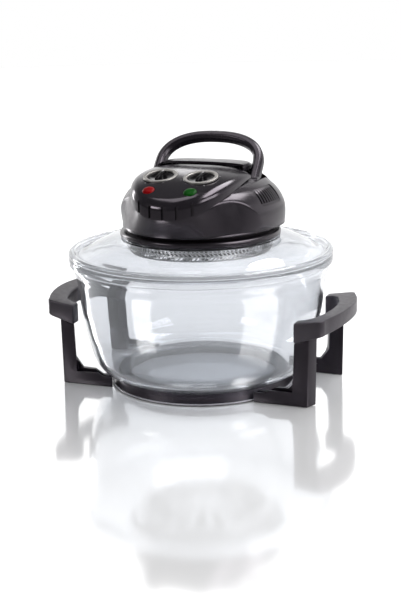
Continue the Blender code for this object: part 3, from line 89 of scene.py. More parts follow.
def between(table, level):
    """Reads a table of rows (level, values...) smoothly at any level."""
    level = min(max(level, table[0][0]), table[-1][0])
    for i, (low, high) in enumerate(zip(table, table[1:])):
        if level <= high[0]:
            break
    before, after = table[max(i - 1, 0)], table[min(i + 2, len(table) - 1)]
    span = high[0] - low[0]
    t = (level - low[0]) / span
    row = []
    for k in range(1, len(low)):
        start = (high[k] - before[k]) / (high[0] - before[0]) * span
        end = (after[k] - low[k]) / (after[0] - low[0]) * span
        row.append(
            (2 * t ** 3 - 3 * t * t + 1) * low[k] + (t ** 3 - 2 * t * t + t) * start
            + (3 * t * t - 2 * t ** 3) * high[k] + (t ** 3 - t * t) * end
        )
    return row


def near(corner, *steps):
    """Points so many millimetres right of and above a corner."""
    return [(corner[0] + right * MM, corner[1] + up * MM) for right, up in steps]


def arc(corner, centre, radius, start, end, steps):
    """A round about a centre given in millimetres from a corner, from one degree to another."""
    turns = [math.radians(start + (end - start) * i / steps) for i in range(steps + 1)]
    return near(corner, *(
        (centre[0] + radius * math.cos(turn), centre[1] + radius * math.sin(turn))
        for turn in turns
    ))


def heading(points, i):
    """The direction of a line at one of its points."""
    before, after = points[max(i - 1, 0)], points[min(i + 1, len(points) - 1)]
    return Vector((after[0] - before[0], after[1] - before[1])).normalized()


def at(spot, angle, axis="Z"):
    """A place with a turn about one axis."""
    return Matrix.Translation(spot) @ Matrix.Rotation(angle, 4, axis)


def outward(bm):
    bmesh.ops.recalc_face_normals(bm, faces=bm.faces)
    return bm


def cleaned(bm):
    bmesh.ops.remove_doubles(bm, verts=bm.verts, dist=WELD)
    bmesh.ops.dissolve_degenerate(bm, dist=WELD, edges=bm.edges)
    return outward(bm)


def turned(profile, steps=96):
    """Spins (radius, height) points round Z; a profile that leaves the axis is closed first."""
    bm = bmesh.new()
    verts = [bm.verts.new((radius, 0, height)) for radius, height in profile]
    edges = [bm.edges.new(pair) for pair in zip(verts, verts[1:])]
    if profile[0][0] or profile[-1][0]:
        edges.append(bm.edges.new((verts[-1], verts[0])))
    bmesh.ops.spin(
        bm, geom=verts + edges, cent=(0, 0, 0), axis=(0, 0, 1), angle=math.tau,
        steps=steps, use_merge=True,
    )
    return cleaned(bm)


def surface(across, along, shape, hole=None):
    """Bends a flat grid to shape(u, v), less the faces hole(i, j), and welds its seam and poles."""
    bm = bmesh.new()
    bmesh.ops.create_grid(bm, x_segments=across, y_segments=along, size=0.5)
    if hole:
        spots = [(face, face.calc_center_median()) for face in bm.faces]
        open_faces = [
            face for face, spot in spots
            if hole(int((spot.x + 0.5) * across), int((spot.y + 0.5) * along))
        ]
        bmesh.ops.delete(bm, geom=open_faces, context="FACES")
    for vert in bm.verts:
        vert.co = shape(vert.co.x + 0.5, vert.co.y + 0.5)
    return cleaned(bm)


def capped(bm):
    """Closes the open ends of a mesh."""
    bmesh.ops.holes_fill(bm, edges=bm.edges, sides=0)
    return outward(bm)


def round_edges(bm, width, segments, sharp=EDGE_ANGLE):
    edges = [e for e in bm.edges if len(e.link_faces) == 2 and e.calc_face_angle() > sharp]
    bmesh.ops.bevel(
        bm, geom=edges, offset=width, offset_type="OFFSET", affect="EDGES", segments=segments,
        profile=0.5, material=-1, clamp_overlap=True,
    )
    return bm


def slab(outline, thickness, width, segments, sharp=EDGE_ANGLE):
    """Extrudes an outline in XY to a thickness about Z = 0, and rounds its sharp edges."""
    bm = bmesh.new()
    face = bm.faces.new([bm.verts.new((x, y, -thickness / 2)) for x, y in outline])
    made = bmesh.ops.extrude_face_region(bm, geom=[face])
    tops = [v for v in made["geom"] if isinstance(v, bmesh.types.BMVert)]
    bmesh.ops.translate(bm, verts=tops, vec=(0, 0, thickness))
    return round_edges(outward(bm), width, segments, sharp)


def block(corner, opposite):
    """A box between any two opposite corners."""
    bm = bmesh.new()
    corner, opposite = Vector(corner), Vector(opposite)
    size = [abs(side) for side in opposite - corner]
    middle = Matrix.Translation((corner + opposite) / 2)
    bmesh.ops.create_cube(bm, size=1, matrix=middle @ Matrix.Diagonal((*size, 1)))
    return bm


def rod(radius, low, high, steps=48):
    bm = bmesh.new()
    bmesh.ops.create_cone(
        bm, cap_ends=True, segments=steps, radius1=radius, radius2=radius, depth=high - low,
        matrix=Matrix.Translation((0, 0, (low + high) / 2)),
    )
    return bm


def moved(bm, matrix):
    bmesh.ops.transform(bm, matrix=matrix, verts=bm.verts)
    if matrix.determinant() < 0:
        bmesh.ops.reverse_faces(bm, faces=bm.faces)
    return bm


def added(bm, other):
    """Adds another piece's faces to a mesh."""
    mesh = bpy.data.meshes.new("part")
    other.to_mesh(mesh)
    other.free()
    bm.from_mesh(mesh)
    bpy.data.meshes.remove(mesh)
    return bm


def as_object(name, bm, collection):
    mesh = bpy.data.meshes.new(name)
    bm.to_mesh(mesh)
    bm.free()
    obj = bpy.data.objects.new(name, mesh)
    collection.objects.link(obj)
    return obj


def piece(name, bm, body, slot, material, *nodes, cuts=(), wall=0.0):
    """Makes a finished piece: gives an open skin its wall, cuts it and sets it on its body."""
    obj = as_object(name, bm, model)
    if wall:
        skin = obj.modifiers.new("wall", "SOLIDIFY")
        skin.thickness, skin.offset, skin.use_even_offset = wall, -1, True
    tools = []
    for i, tool in enumerate(cuts):
        tools.append(as_object(f"{name}_cut_{i}", tool, helpers))
        cutting = obj.modifiers.new(f"cut {i}", "BOOLEAN")
        cutting.operation, cutting.object = "DIFFERENCE", tools[-1]
    if obj.modifiers:
        bpy.context.view_layer.update()
        graph = bpy.context.evaluated_depsgraph_get()
        mesh = bpy.data.meshes.new_from_object(obj.evaluated_get(graph))
        obj.modifiers.clear()
        obj.data = mesh
    for tool in tools:
        bpy.data.objects.remove(tool)
    obj.data.shade_smooth()
    obj.data.set_sharp_from_angle(angle=SHADE_ANGLE)
    obj.data.materials.clear()
    obj.data.materials.append(material)
    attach(obj, body)
    if nodes:
        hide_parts(*nodes)
    return obj


# Materials


def srgb(code):
    """Turns a hex colour such as 2F3035 into linear red, green, blue and 1."""
    channels = [int(code[i:i + 2], 16) / 255 for i in (0, 2, 4)]
    linear = [c / 12.92 if c <= 0.04045 else ((c + 0.055) / 1.055) ** 2.4 for c in channels]
    return (*linear, 1)


def add(material, kind, values=(), **settings):
    """Adds a shader node; values gives its sockets values, or the nodes or outputs to link."""
    node = material.node_tree.nodes.new(kind)
    for name, value in settings.items():
        setattr(node, name, value)
    for socket, value in dict(values).items():
        if isinstance(value, bpy.types.Node):
            value = value.outputs[0]
        if isinstance(value, bpy.types.NodeSocket):
            material.node_tree.links.new(value, node.inputs[socket])
        else:
            node.inputs[socket].default_value = value
    return node


def blank(name):
    material = bpy.data.materials.new(name)
    material.use_nodes = True
    material.node_tree.nodes.clear()
    return material


def finish(name, tones, gloss, spots, depth, sockets):
    """An opaque finish: two close tones in clouds, an uneven gloss and a fine relief.

    spots gives size in millimetres and detail for the clouds, the gloss and, where it has its own,
    the relief; gloss is the range of roughness, depth the relief's in millimetres.
    """
    material = blank(name)
    where = add(material, "ShaderNodeTexCoord").outputs["Object"]
    patterns = [
        add(material, "ShaderNodeTexNoise", {
            "Vector": where, "Scale": 1 / (size * MM), "Detail": detail, "Roughness": 0.55,
        })
        for size, detail in spots
    ]
    ramp = add(material, "ShaderNodeValToRGB", {"Fac": patterns[0]})
    for stop, place, tone in zip(ramp.color_ramp.elements, (0.35, 0.65), tones):
        stop.position, stop.color = place, srgb(tone)
    roughness = add(material, "ShaderNodeMapRange", {
        "Value": patterns[1], "From Min": 0.3, "From Max": 0.7,
        "To Min": gloss[0], "To Max": gloss[1],
    })
    if depth:
        bump = add(material, "ShaderNodeBump", {
            "Height": patterns[-1], "Distance": depth * MM, "Strength": 1.0,
        })
        sockets = {**sockets, "Normal": bump}
    shader = add(material, "ShaderNodeBsdfPrincipled", {
        "Base Color": ramp, "Roughness": roughness, **sockets,
    })
    add(material, "ShaderNodeOutputMaterial", {"Surface": shader})
    return material


def moulded(name, tones, gloss, grain, depth, shine=0.5):
    """Injection-moulded plastic, whose mirror images the photograph shows faintly purple.

    The mould's grain is a tenth of a millimetre or finer; it is drawn coarser so that it shows.
    """
    return finish(name, tones, gloss, ((30, 3), (8, 3), (grain, 2)), depth, {
        "IOR": 1.53, "Specular IOR Level": shine, "Specular Tint": (1.0, 0.89, 1.0, 1.0),
    })


def metal(name, tones, gloss):
    """Metal with shallow tool marks, drawn coarser than real ones so that they show."""
    return finish(name, tones, gloss, ((12, 3), (1.2, 3)), 0.01, {"Metallic": 1.0})


def acrylic(name, tones):
    return finish(name, tones, (0.30, 0.38), ((4, 3), (2, 3)), 0, {
        "IOR": 1.49, "Specular IOR Level": 0.06,
    })


GLASS_RIPPLE = 45 * MM
RIM_FADE = 2.5 * MM


def clear_glass(name, tint, roughness, wave, ior, clearness, rim=None):
    """Glass that lamps shine through, with a slow ripple; rim is low, high and its clearness."""
    material = blank(name)
    where = add(material, "ShaderNodeTexCoord").outputs["Object"]
    # The rim band is less clear, so its pale tint shows as a painted reflection on the thick rims
    if rim:
        low, high, painted_rim_clearness = rim
        height = add(material, "ShaderNodeSeparateXYZ", {"Vector": where}).outputs["Z"]
        middle, half = (low + high) / 2, (high - low) / 2
        off = add(material, "ShaderNodeMath", {0: height, 1: middle}, operation="SUBTRACT")
        off = add(material, "ShaderNodeMath", {0: off}, operation="ABSOLUTE")
        clearness = add(material, "ShaderNodeMapRange", {
            "Value": off, "From Min": half, "From Max": half + RIM_FADE,
            "To Min": painted_rim_clearness, "To Max": clearness,
        })
    ripple = add(material, "ShaderNodeTexNoise", {
        "Vector": where, "Scale": 1 / GLASS_RIPPLE, "Detail": 1.0, "Roughness": 0.55,
    })
    bump = add(material, "ShaderNodeBump", {
        "Height": ripple, "Distance": wave * MM, "Strength": 1.0,
    })
    glass = add(material, "ShaderNodeBsdfPrincipled", {
        "Base Color": srgb(tint), "Roughness": roughness, "IOR": ior,
        "Transmission Weight": clearness, "Normal": bump,
    })
    window = add(material, "ShaderNodeBsdfTransparent", {"Color": srgb(tint)})
    for_lamps = add(material, "ShaderNodeLightPath").outputs["Is Shadow Ray"]
    mix = add(material, "ShaderNodeMixShader", {0: for_lamps, 1: glass, 2: window})
    add(material, "ShaderNodeOutputMaterial", {"Surface": mix})
    return material


# Gloss ABS housing: near black, with the long soft reflections that the dome shows
housing_gloss = moulded("gloss_abs_housing", ("141216", "18161A"), (0.20, 0.27), 0.9, 0.004)
# The visor's top is polished further in the mould, so its edge roll shows a crisp bright line
visor_gloss = moulded("polished_abs_visor", ("131115", "171519"), (0.14, 0.20), 1.2, 0.003)
# Spark-eroded nylon of the stand: satin black that blurs what it mirrors
stand_satin = moulded("satin_nylon_stand", ("110E13", "151218"), (0.30, 0.38), 0.8, 0.006, 0.36)
# The ring's lower lip is drawn light grey: a painted reflection of the white table, seen as one
# thin light line
lip_painted_reflection = moulded("nylon_lip_painted_reflection", ("8C8A8E", "989699"), (0.16, 0.22), 1.5, 0.001)
# Polypropylene grips: a cooler, greyer satin with a fine leather-like grain
grip_satin = moulded("satin_polypropylene_grip", ("232125", "29272B"), (0.34, 0.44), 0.7, 0.006)
# ABS handle: black with one soft light along each of its ridges
handle_satin = moulded("satin_abs_handle", ("131115", "17151A"), (0.22, 0.28), 2.0, 0.001, 0.40)
# Phenolic inside the head: matt black that keeps slots and wells dark
dark_matt = moulded("matt_phenolic_inside", ("0B0A0C", "0F0E10"), (0.50, 0.62), 0.8, 0.010)
# High-gloss ABS knobs: the oven's deepest black, with only small glints
knob_gloss = moulded("piano_gloss_knob", ("060507", "09080A"), (0.10, 0.14), 2.0, 0.0005, 0.05)
# Moulded rubber pads: dull dark grey without glints
soft_rubber = moulded("moulded_rubber_pad", ("1A1A1B", "202021"), (0.75, 0.88), 0.6, 0.020)
# Screen-printed ink: flat light grey on the black visor
print_ink = moulded("screen_printed_ink", ("A8A6A8", "B4B2B4"), (0.45, 0.55), 0.5, 0.001)
# Pressed stainless steel: bright, with blurred images
bright_steel = metal("pressed_bright_steel", ("B9B8B8", "C9C8C8"), (0.14, 0.26))
# Zinc-plated steel: a duller, bluish grey
dark_steel = metal("zinc_plated_steel", ("77787C", "8A8B8E"), (0.32, 0.45))
# Satin chrome on the bezels: warm silver rings that stay even all round
bezel_silver = metal("satin_chromed_bezel", ("A3A09D", "AEABA8"), (0.40, 0.48))
# The reflector is drawn near black, painted shade for the dim inside of the head, so the bright
# guard stands out in front of it
reflector_painted_shade = metal("steel_painted_shade", ("1F1C1A", "2A2623"), (0.45, 0.6))
# Tumbled steel of the guard: light and even, so that its open cells read dark
guard_steel = metal("tumbled_steel_guard", ("D2D1D0", "DEDDDC"), (0.30, 0.42))
# Tungsten wire: dull grey inside the clear tube
tungsten = metal("coiled_tungsten", ("5C5A58", "6E6B68"), (0.35, 0.45))
# Enamelled copper of the motor's winding: reddish brown
copper = metal("enamelled_copper", ("8A4B2C", "A35C38"), (0.3, 0.4))
# Pressed soda-lime glass: a band round the thick rims is made less clear, so its pale tint shows
# there as a painted grey reflection and the rims read pale grey, not black
bowl_glass = clear_glass(
    "pressed_soda_lime_glass", "E2E4E7", 0.0, 0.06, 1.45, 0.975,
    (BOWL_TOP - 9.5 * MM, BOWL_TOP + 8.0 * MM, 0.88),
)
# Drawn quartz glass: a clear tube with a faintly soft surface
tube_quartz = clear_glass("drawn_quartz_glass", "FBFBFA", 0.02, 0.02, 1.46, 0.985)
# Tinted acrylic over unlit lamps: deep colour with hardly a glint
red_acrylic = acrylic("red_acrylic_lens", ("6E0306", "780408"))
green_acrylic = acrylic("green_acrylic_lens", ("083A09", "0A430D"))
# Pressed and fired steatite: off-white, matt and faintly speckled
ceramic = finish(
    "fired_steatite", ("D8D2C4", "E9E5DA"), (0.62, 0.62), ((1.5, 4), (1.5, 4)), 0.02, {}
)


# Glass bowl and lid

BOWL_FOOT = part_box("glass_bowl")[0].z
BOWL_WALL = 5 * MM
LID_LOW = BOWL_TOP + GAP
LID_WALL = 4.5 * MM
LID_HOLE = 84 * MM
LAND_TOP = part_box("clamp_ring")[0].z - GAP


def offset_line(points, distance):
    """Moves a profile inwards, square to itself."""
    ways = [heading(points, i) for i in range(len(points))]
    return [(x + way.y * distance, z - way.x * distance) for (x, z), way in zip(points, ways)]


def glass_bowl():
    """A pressed bowl: a thick rim over a short neck, slowly narrowing walls and a rounded foot.

    The profile runs from the axis over the inside, the rim and the outside back to the axis.
    """
    lip, floor = (BOWL_RIM, BOWL_TOP), BOWL_FOOT + 6 * MM
    outside = curve_through(
        near(lip, (-4.4, -9.6), (-4.9, -15), (-6.6, -21), (-8.6, -28))
        + near(
            AXIS, (158.0, 127), (156.5, 114), (154.9, 100), (152.6, 87), (149.6, 71), (145.9, 56),
            (142.6, 44), (138.6, 33.5), (133.0, 25.2), (125.5, 18.9), (117.5, 15.5),
        )
        + near((0, BOWL_FOOT), (108, 0)), 4,
    )
    profile = (
        near((0, floor), (0, -0.6), (60, -0.4), (100, -0.3))
        + list(reversed(offset_line(outside, BOWL_WALL))) + near(lip, (-9, -8))
        + arc(lip, (-7.5, -1.5), 1.5, 180, 90, 4) + arc(lip, (-3, -3), 3, 90, 0, 6)
        + arc(lip, (-2, -7.2), 2, 0, -80, 5)
        + outside + near((0, BOWL_FOOT), (60, 0), (0, 0))
    )
    piece("bowl_glass", turned(profile, 144), "bowl", "bowl_glass", bowl_glass, "glass_bowl")


def glass_lid():
    """A domed lid with a rolled rim, a narrow groove inside it and a ground land for the head."""
    bead = (BOWL_RIM, LID_LOW + 8 * MM)
    crown = curve_through(
        near(bead, (-13.5, -3.4))
        + near(AXIS, (147.5, 175.5), (137.5, 180.9), (125, 186.3), (114, 189.7), (105, 191.4))
        + near((0, LAND_TOP), (102, 0)), 4,
    )
    profile = (
        [(LID_HOLE, LAND_TOP)] + list(reversed(crown))
        + arc(bead, (-11.2, -3.0), 1.6, 230, 330, 4) + arc(bead, (-4.4, -3.4), 3.4, 150, 60, 6)
        + arc(bead, (-3.2, -3.9), 3.2, 50, 0, 4)
        + near((BOWL_RIM, LID_LOW), (0, 1), (-1, 0), (-9.4, 0))
        + near((BOWL_RIM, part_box("glass_lid")[0].z), (-9.4, 0.8), (-10.2, 0), (-13, 0))
        + [(radius, height - LID_WALL) for radius, height in crown]
        + [(LID_HOLE, LAND_TOP - LID_WALL)]
    )
    piece("lid_glass", turned(profile, 144), "lid", "bowl_glass", bowl_glass, "glass_lid")


# Stand

RING_FOOT, _, RING_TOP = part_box("base_ring")[1]
RING_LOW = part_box("base_ring")[0].z
RING_DRAFT = 7.5 * MM
RING_BORE = RING_FOOT - 23 * MM
LEG_HALF = 7.5 * MM
LEG_MIDDLE_Y = 69.5 * MM
LEG_SKEW = 0.45
LEG_LEAN = 1.5 * MM
LEG_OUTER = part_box("pad_front_right")[1].x + 3.25 * MM
ARM_ROOT = 98.5 * MM
ARM_TOP = 13.6 * MM
POST_INNER = LEG_OUTER - 18.5 * MM
GRIP_SEAT = 81.3 * MM
GRIP_SEAT_X = POST_INNER + 3 * MM
GRIP_TILT = 0.30
GRIP_TOP_TILT = 0.15
GRIP_BODY = 24.5 * MM
GRIP_WIDTH = 22.5 * MM
LEDGE = 17.7 * MM
ARM_GROOVE = 2.2 * MM


def base_ring():
    """A channel-shaped ring: a rolled top, a drafted wall and a thin lip at the floor."""
    top, foot = (RING_FOOT - RING_DRAFT, RING_TOP), (RING_FOOT, RING_LOW)
    bore_top, bore_low = (RING_BORE, RING_TOP), (RING_BORE, RING_LOW)
    profile = (
        arc(top, (-1.5, -1.5), 1.5, 90, 20, 4) + near(top, (2.1, -4.6), (2.9, -5.4))
        + near(foot, (-2.4, 2.1), (-1.4, 1.1)) + arc(foot, (-0.5, 0.5), 0.5, 90, -90, 4)
        + near(foot, (-4, 0)) + near(top, (-3.2, -3)) + near(bore_top, (3, -3))
        + near(bore_low, (3, 0), (0.6, 0), (0, 0.6)) + near(bore_top, (0, -1), (1, 0))
    )
    piece("stand_ring", turned(profile, 128), "stand", "black_plastic", stand_satin, "base_ring")
    # The lip's light grey is a painted reflection of the white table, not the nylon's own colour
    bead = arc(foot, (-1.2, 1.3), 1.2, 90, -90, 8) + near(foot, (-2.4, 0.4))
    piece("stand_ring_lip", turned(bead, 128), "stand", "black_plastic", lip_painted_reflection)


def grip_height(x):
    return GRIP_SEAT + (x - GRIP_SEAT_X) * GRIP_TILT


def leg(side, end, name):
    """A channel-shaped arm, a gusset, and a post whose plan is skewed to follow the bowl."""
    outline = near((LEG_OUTER, 0), (-46, 20), (-56.5, ARM_TOP / MM)) + [
        (ARM_ROOT, ARM_TOP), (ARM_ROOT, RING_LOW), (LEG_OUTER, RING_LOW),
        (LEG_OUTER + LEG_LEAN, grip_height(LEG_OUTER + LEG_LEAN) - GAP),
        (POST_INNER + LEG_LEAN, grip_height(POST_INNER + LEG_LEAN) - GAP),
    ] + near((POST_INNER, 0), (0, 34), (-10, 20.5))
    bm = slab(outline, 2 * LEG_HALF, 1.0 * MM, 3)
    across = end * LEG_MIDDLE_Y
    moved(bm, at((0, across, 0), math.pi / 2, "X"))
    for vert in bm.verts:
        shift = (LEG_MIDDLE_Y - abs(vert.co.y)) * LEG_SKEW
        vert.co.x += shift
        if vert.co.z > GRIP_SEAT - 20 * MM:
            vert.co.z += shift * GRIP_TILT
    moved(bm, Matrix.Diagonal((side, 1, 1, 1)))
    ring = rod(RING_FOOT + GAP, -5 * MM, 60 * MM, 128)
    for vert in ring.verts:
        height = (vert.co.z - RING_LOW) / (RING_TOP - RING_LOW)
        vert.co.xy *= 1 - RING_DRAFT / RING_FOOT * height
    inner_y, outer_y = across - end * LEG_HALF, across + end * LEG_HALF
    recess = block(
        (side * (POST_INNER - 26 * MM), inner_y - 2 * MM, 13 * MM),
        (side * (POST_INNER - 12 * MM), inner_y + 2 * MM, 19 * MM),
    )
    start, stop = side * ARM_ROOT, side * (POST_INNER - 3.6 * MM)
    ledge = block((start, outer_y + end * 5 * MM, LEDGE), (stop, across, 60 * MM))
    groove = block((start, outer_y - end * ARM_GROOVE, 10 * MM), (stop, across, 30 * MM))
    piece(
        "stand_" + name, bm, "stand", "black_plastic", stand_satin, name,
        cuts=(ring, recess, ledge, groove),
    )


def bow(x_end, radius, half, steps=20):
    """A shallow bow across the grip, from one y to its opposite, that ends at x_end."""
    spots = [half * (2 * i / steps - 1) for i in range(steps + 1)]
    return [(x_end - radius + math.sqrt(radius ** 2 - y ** 2), y) for y in spots]


def grip(side, name):
    """A bowed, wedge-shaped bar over two posts, thinner at its outer edge."""
    reach, end_y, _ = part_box("grip_right")[1]
    corner_mm = 9
    inner_bow, outer_bow, shoulder, neck = 132 * MM, 168 * MM, 55 * MM, 61.7 * MM
    inner = bow(reach - GRIP_WIDTH, inner_bow, shoulder)
    outer = list(reversed(bow(reach, outer_bow, end_y - corner_mm * MM)))
    corner = arc((outer[0][0], end_y), (-corner_mm, -corner_mm), corner_mm, 85, 12, 6)
    half_outline = [(GRIP_SEAT_X + 3.5 * MM, neck)] + [
        (POST_INNER - 2 * MM, y) for y in (neck, end_y)
    ] + corner
    mirrored = [(x, -y) for x, y in reversed(half_outline)]
    bm = slab(inner + half_outline + outer + mirrored, GRIP_BODY, 2.0 * MM, 4, math.radians(35))
    for vert in bm.verts:
        height = vert.co.z / GRIP_BODY + 0.5
        tilt = GRIP_TILT + (GRIP_TOP_TILT - GRIP_TILT) * height
        vert.co.z += GRIP_SEAT + GRIP_BODY / 2 + (vert.co.x - GRIP_SEAT_X) * tilt
    moved(bm, Matrix.Diagonal((side, 1, 1, 1)))
    piece("stand_" + name, bm, "stand", "grip_plastic", grip_satin, name)


def pad(name):
    low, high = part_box(name)
    radius, height = (high.x - low.x) / 2, high.z - low.z
    profile = (
        [(0, height), (radius, height)] + arc((radius, 0), (-0.8, 0.8), 0.8, 0, -90, 4) + [AXIS]
    )
    spot = Matrix.Translation((low.x + radius, (low.y + high.y) / 2, low.z))
    piece(
        "rubber_" + name, moved(turned(profile, 40), spot), "stand", "rubber", soft_rubber, name
    )


def stand():
    base_ring()
    for side, side_name in ((-1, "left"), (1, "right")):
        grip(side, "grip_" + side_name)
        for end, end_name in ((-1, "front"), (1, "rear")):
            leg(side, end, f"leg_{end_name}_{side_name}")
            pad(f"pad_{end_name}_{side_name}")


# Head seat

CLAMP_OUT, _, CLAMP_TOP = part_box("clamp_ring")[1]
HEAD_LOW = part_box("rear_shell")[0].z


def clamp_ring():
    bore, low = 85 * MM, LAND_TOP + GAP
    profile = (
        arc((CLAMP_OUT, CLAMP_TOP), (-3.2, -3.2), 3.2, 90, 10, 6)
        + arc((CLAMP_OUT, low), (-2.6, 2.6), 2.6, -5, -90, 5) + [(bore, low), (bore, CLAMP_TOP)]
    )
    piece("lid_clamp", turned(profile, 128), "lid", "black_plastic", housing_gloss, "clamp_ring")


def base_pan():
    rim = (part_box("base_pan")[1].x - 2.5 * MM, HEAD_LOW)
    neck = (rim[0] - 2.5 * MM, CLAMP_TOP + GAP)
    profile = (
        near(rim, (-3, -0.3), (0, -0.3), (0, -1.6)) + near(neck, (1, 1.4), (0, 0))
        + near((0, neck[1]), (8, 0), (8, 3)) + near(neck, (-3, 3))
    )
    piece("head_floor_pan", turned(profile, 128), "lid", "black_plastic", dark_matt, "base_pan")


def heat_shield():
    pot, flange = (79 * MM, CLAMP_TOP), (79 * MM, LAND_TOP - LID_WALL - GAP)
    profile = (
        arc(pot, (-3, -3), 3, 90, 0, 5) + arc(flange, (1.5, 1.5), 1.5, 180, 270, 4)
        + near(flange, (13, 0), (13, -1)) + arc(flange, (1.5, 1.5), 2.5, 270, 180, 4)
        + arc(pot, (-3, -3), 2, 0, 90, 4) + near((0, CLAMP_TOP), (8, -1), (8, 0))
    )
    # Its near black is painted shade, not the steel's own colour
    piece("heat_reflector", turned(profile), "lid", "bright_steel", reflector_painted_shade, "heat_shield")


def fan_guard():
    """Pressed from one disc: two rows of slanted cells round its side and spokes in its floor."""
    rim, _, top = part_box("fan_guard")[1]
    cells, columns, columns_per_spoke, floor_row = 108, 5, 6, 10
    foot, floor_fall, floor_twist = rim - 7.5 * MM, 12.3, -0.1
    # Radius, millimetres below the rim, twist in cells, and which columns of a cell are open
    rows = [(rim - inset * MM, fall, twist, open_columns) for inset, fall, twist, open_columns in (
        (0, 0, 0, ()), (2.5, 0.3, 0, ()), (2.7, 1.3, 0, (1, 2, 3)), (3.1, 3.2, 0.3, (1, 2, 3)),
        (3.6, 5.1, 0.6, ()), (3.9, 6.1, 0.6, (1, 2, 3)), (4.6, 8.0, 0.25, (1, 2, 3)),
        (5.7, 9.9, floor_twist, ()), (6.9, 11.2, floor_twist, ()), (8.2, 12.0, floor_twist, ()),
        (9.5, floor_fall, floor_twist, ()),
    )]
    rows += [(foot * share, floor_fall, floor_twist, open_columns) for share, open_columns in (
        (0.90, (0, 1, 2)), (0.56, ()), (0.50, (0, 1)), (0.26, ()), (0.0, ()),
    )]
    last = len(rows) - 1

    def shape(u, v):
        radius, fall, twist, _ = rows[round(v * last)]
        turn = math.tau * (u + twist / cells)
        return radius * math.cos(turn), radius * math.sin(turn), top - fall * MM

    def hole(i, j):
        column = i // columns_per_spoke if j >= floor_row else i
        return column % columns in rows[j][3]

    bm = surface(cells * columns, last, shape, hole)
    piece(
        "fan_guard_grille", bm, "lid", "bright_steel", guard_steel, "fan_guard",
        wall=0.7 * MM,
    )


def halogen_tube():
    """A quartz ring, open at the back between its holders, with a coiled filament inside it."""
    low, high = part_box("halogen_tube")
    radius, z = 63 * MM, (low.z + high.z) / 2
    opening = math.radians(46)

    def tube(sides, thick):
        def shape(u, v):
            turn = (math.pi + opening) / 2 + (math.tau - opening) * v
            reach = radius + thick * math.cos(math.tau * u)
            return (
                reach * math.cos(turn), reach * math.sin(turn), z + thick * math.sin(math.tau * u)
            )
        return capped(surface(sides, 96, shape))

    glass = tube(20, (high.z - low.z) / 2)
    piece("halogen_ring", glass, "lid", "tube_glass", tube_quartz, "halogen_tube")
    piece("halogen_filament", tube(8, 1.1 * MM), "lid", "dark_steel", tungsten)


# Head housing

HEAD_CENTRE_Y = 20 * MM
HEAD_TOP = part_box("rear_shell")[1].z
HEAD_HEIGHT = HEAD_TOP - HEAD_LOW
HEAD_HALF = 105 * MM
HEAD_REAR = 83 * MM
HEAD_FRONT = 133 * MM
HEAD_SHARES = (
    # height, half width, rear reach, front reach
    (0.000, 0.978, 0.988, 0.935),
    (0.130, 0.990, 0.998, 0.965),
    (0.300, 0.984, 0.988, 0.995),
    (0.435, 0.945, 0.962, 0.987),
    (0.540, 0.893, 0.925, 0.955),
    (0.620, 0.830, 0.872, 0.915),
    (0.690, 0.748, 0.795, 0.860),
    (0.750, 0.655, 0.705, 0.800),
    (0.820, 0.600, 0.615, 0.700),
    (0.900, 0.572, 0.500, 0.560),
    (0.960, 0.535, 0.360, 0.420),
)
CAP_LEVEL = 0.960
# The lip round the head's foot: level and how far it stands out
FOOT_LIP = ((0.0, -0.4 * MM), (0.007, 0.4 * MM), (0.016, 0.5 * MM), (0.026, 0.0))
FOOT_DROP = 2 * MM
ARCH_MIDDLE = math.radians(-46.5)
ARCH_HALF_SPAN = math.radians(21.5)
ARCH_FRONT_SPAN = math.radians(42)
ARCH_LEVEL = 0.55
ARCH_ROUND = 0.030
ARCH_FRONT_LEVEL = 0.27
LOWEST_CREASE = 0.16
CROWN_FOOT, CROWN_FADE, CROWN_SQUARE = 0.62, 0.2, 1.5


def smooth_step(share):
    share = min(max(share, 0.0), 1.0)
    return share * share * (3 - 2 * share)


def arch_level(angle):
    """Height of the wheel arch's crease in one direction, as a share of the head's height."""
    offset = math.atan2(math.sin(angle), abs(math.cos(angle))) - ARCH_MIDDLE
    if offset < 0:
        fade = math.cos(min(-offset / ARCH_FRONT_SPAN, 1.0) * math.pi / 2) ** 2
        return ARCH_FRONT_LEVEL + (ARCH_LEVEL - ARCH_FRONT_LEVEL) * fade
    return ARCH_LEVEL * math.sqrt(max(1 - (offset / ARCH_HALF_SPAN) ** 2, 0.0))


def head_shares(angle, level, hollow):
    """Half width, rear and front reach; under the arch the wall runs straight to the foot."""
    whole = between(HEAD_SHARES, level)
    crease = arch_level(angle)
    if not hollow or crease < 3 * ARCH_ROUND or level > crease + ARCH_ROUND:
        return whole
    foot, peak = HEAD_SHARES[0][1:], between(HEAD_SHARES, crease)
    share = min(level, crease - ARCH_ROUND) / crease
    wall = [a + (b - a) * share for a, b in zip(foot, peak)]
    if level <= crease - ARCH_ROUND:
        return wall
    t = (level - crease) / ARCH_ROUND / 2 + 0.5
    over = between(HEAD_SHARES, crease + ARCH_ROUND)
    return [
        (1 - t) ** 2 * a + 2 * t * (1 - t) * b + t * t * c for a, b, c in zip(wall, peak, over)
    ]


def square_off(value, power):
    return math.copysign(abs(value) ** power, value)


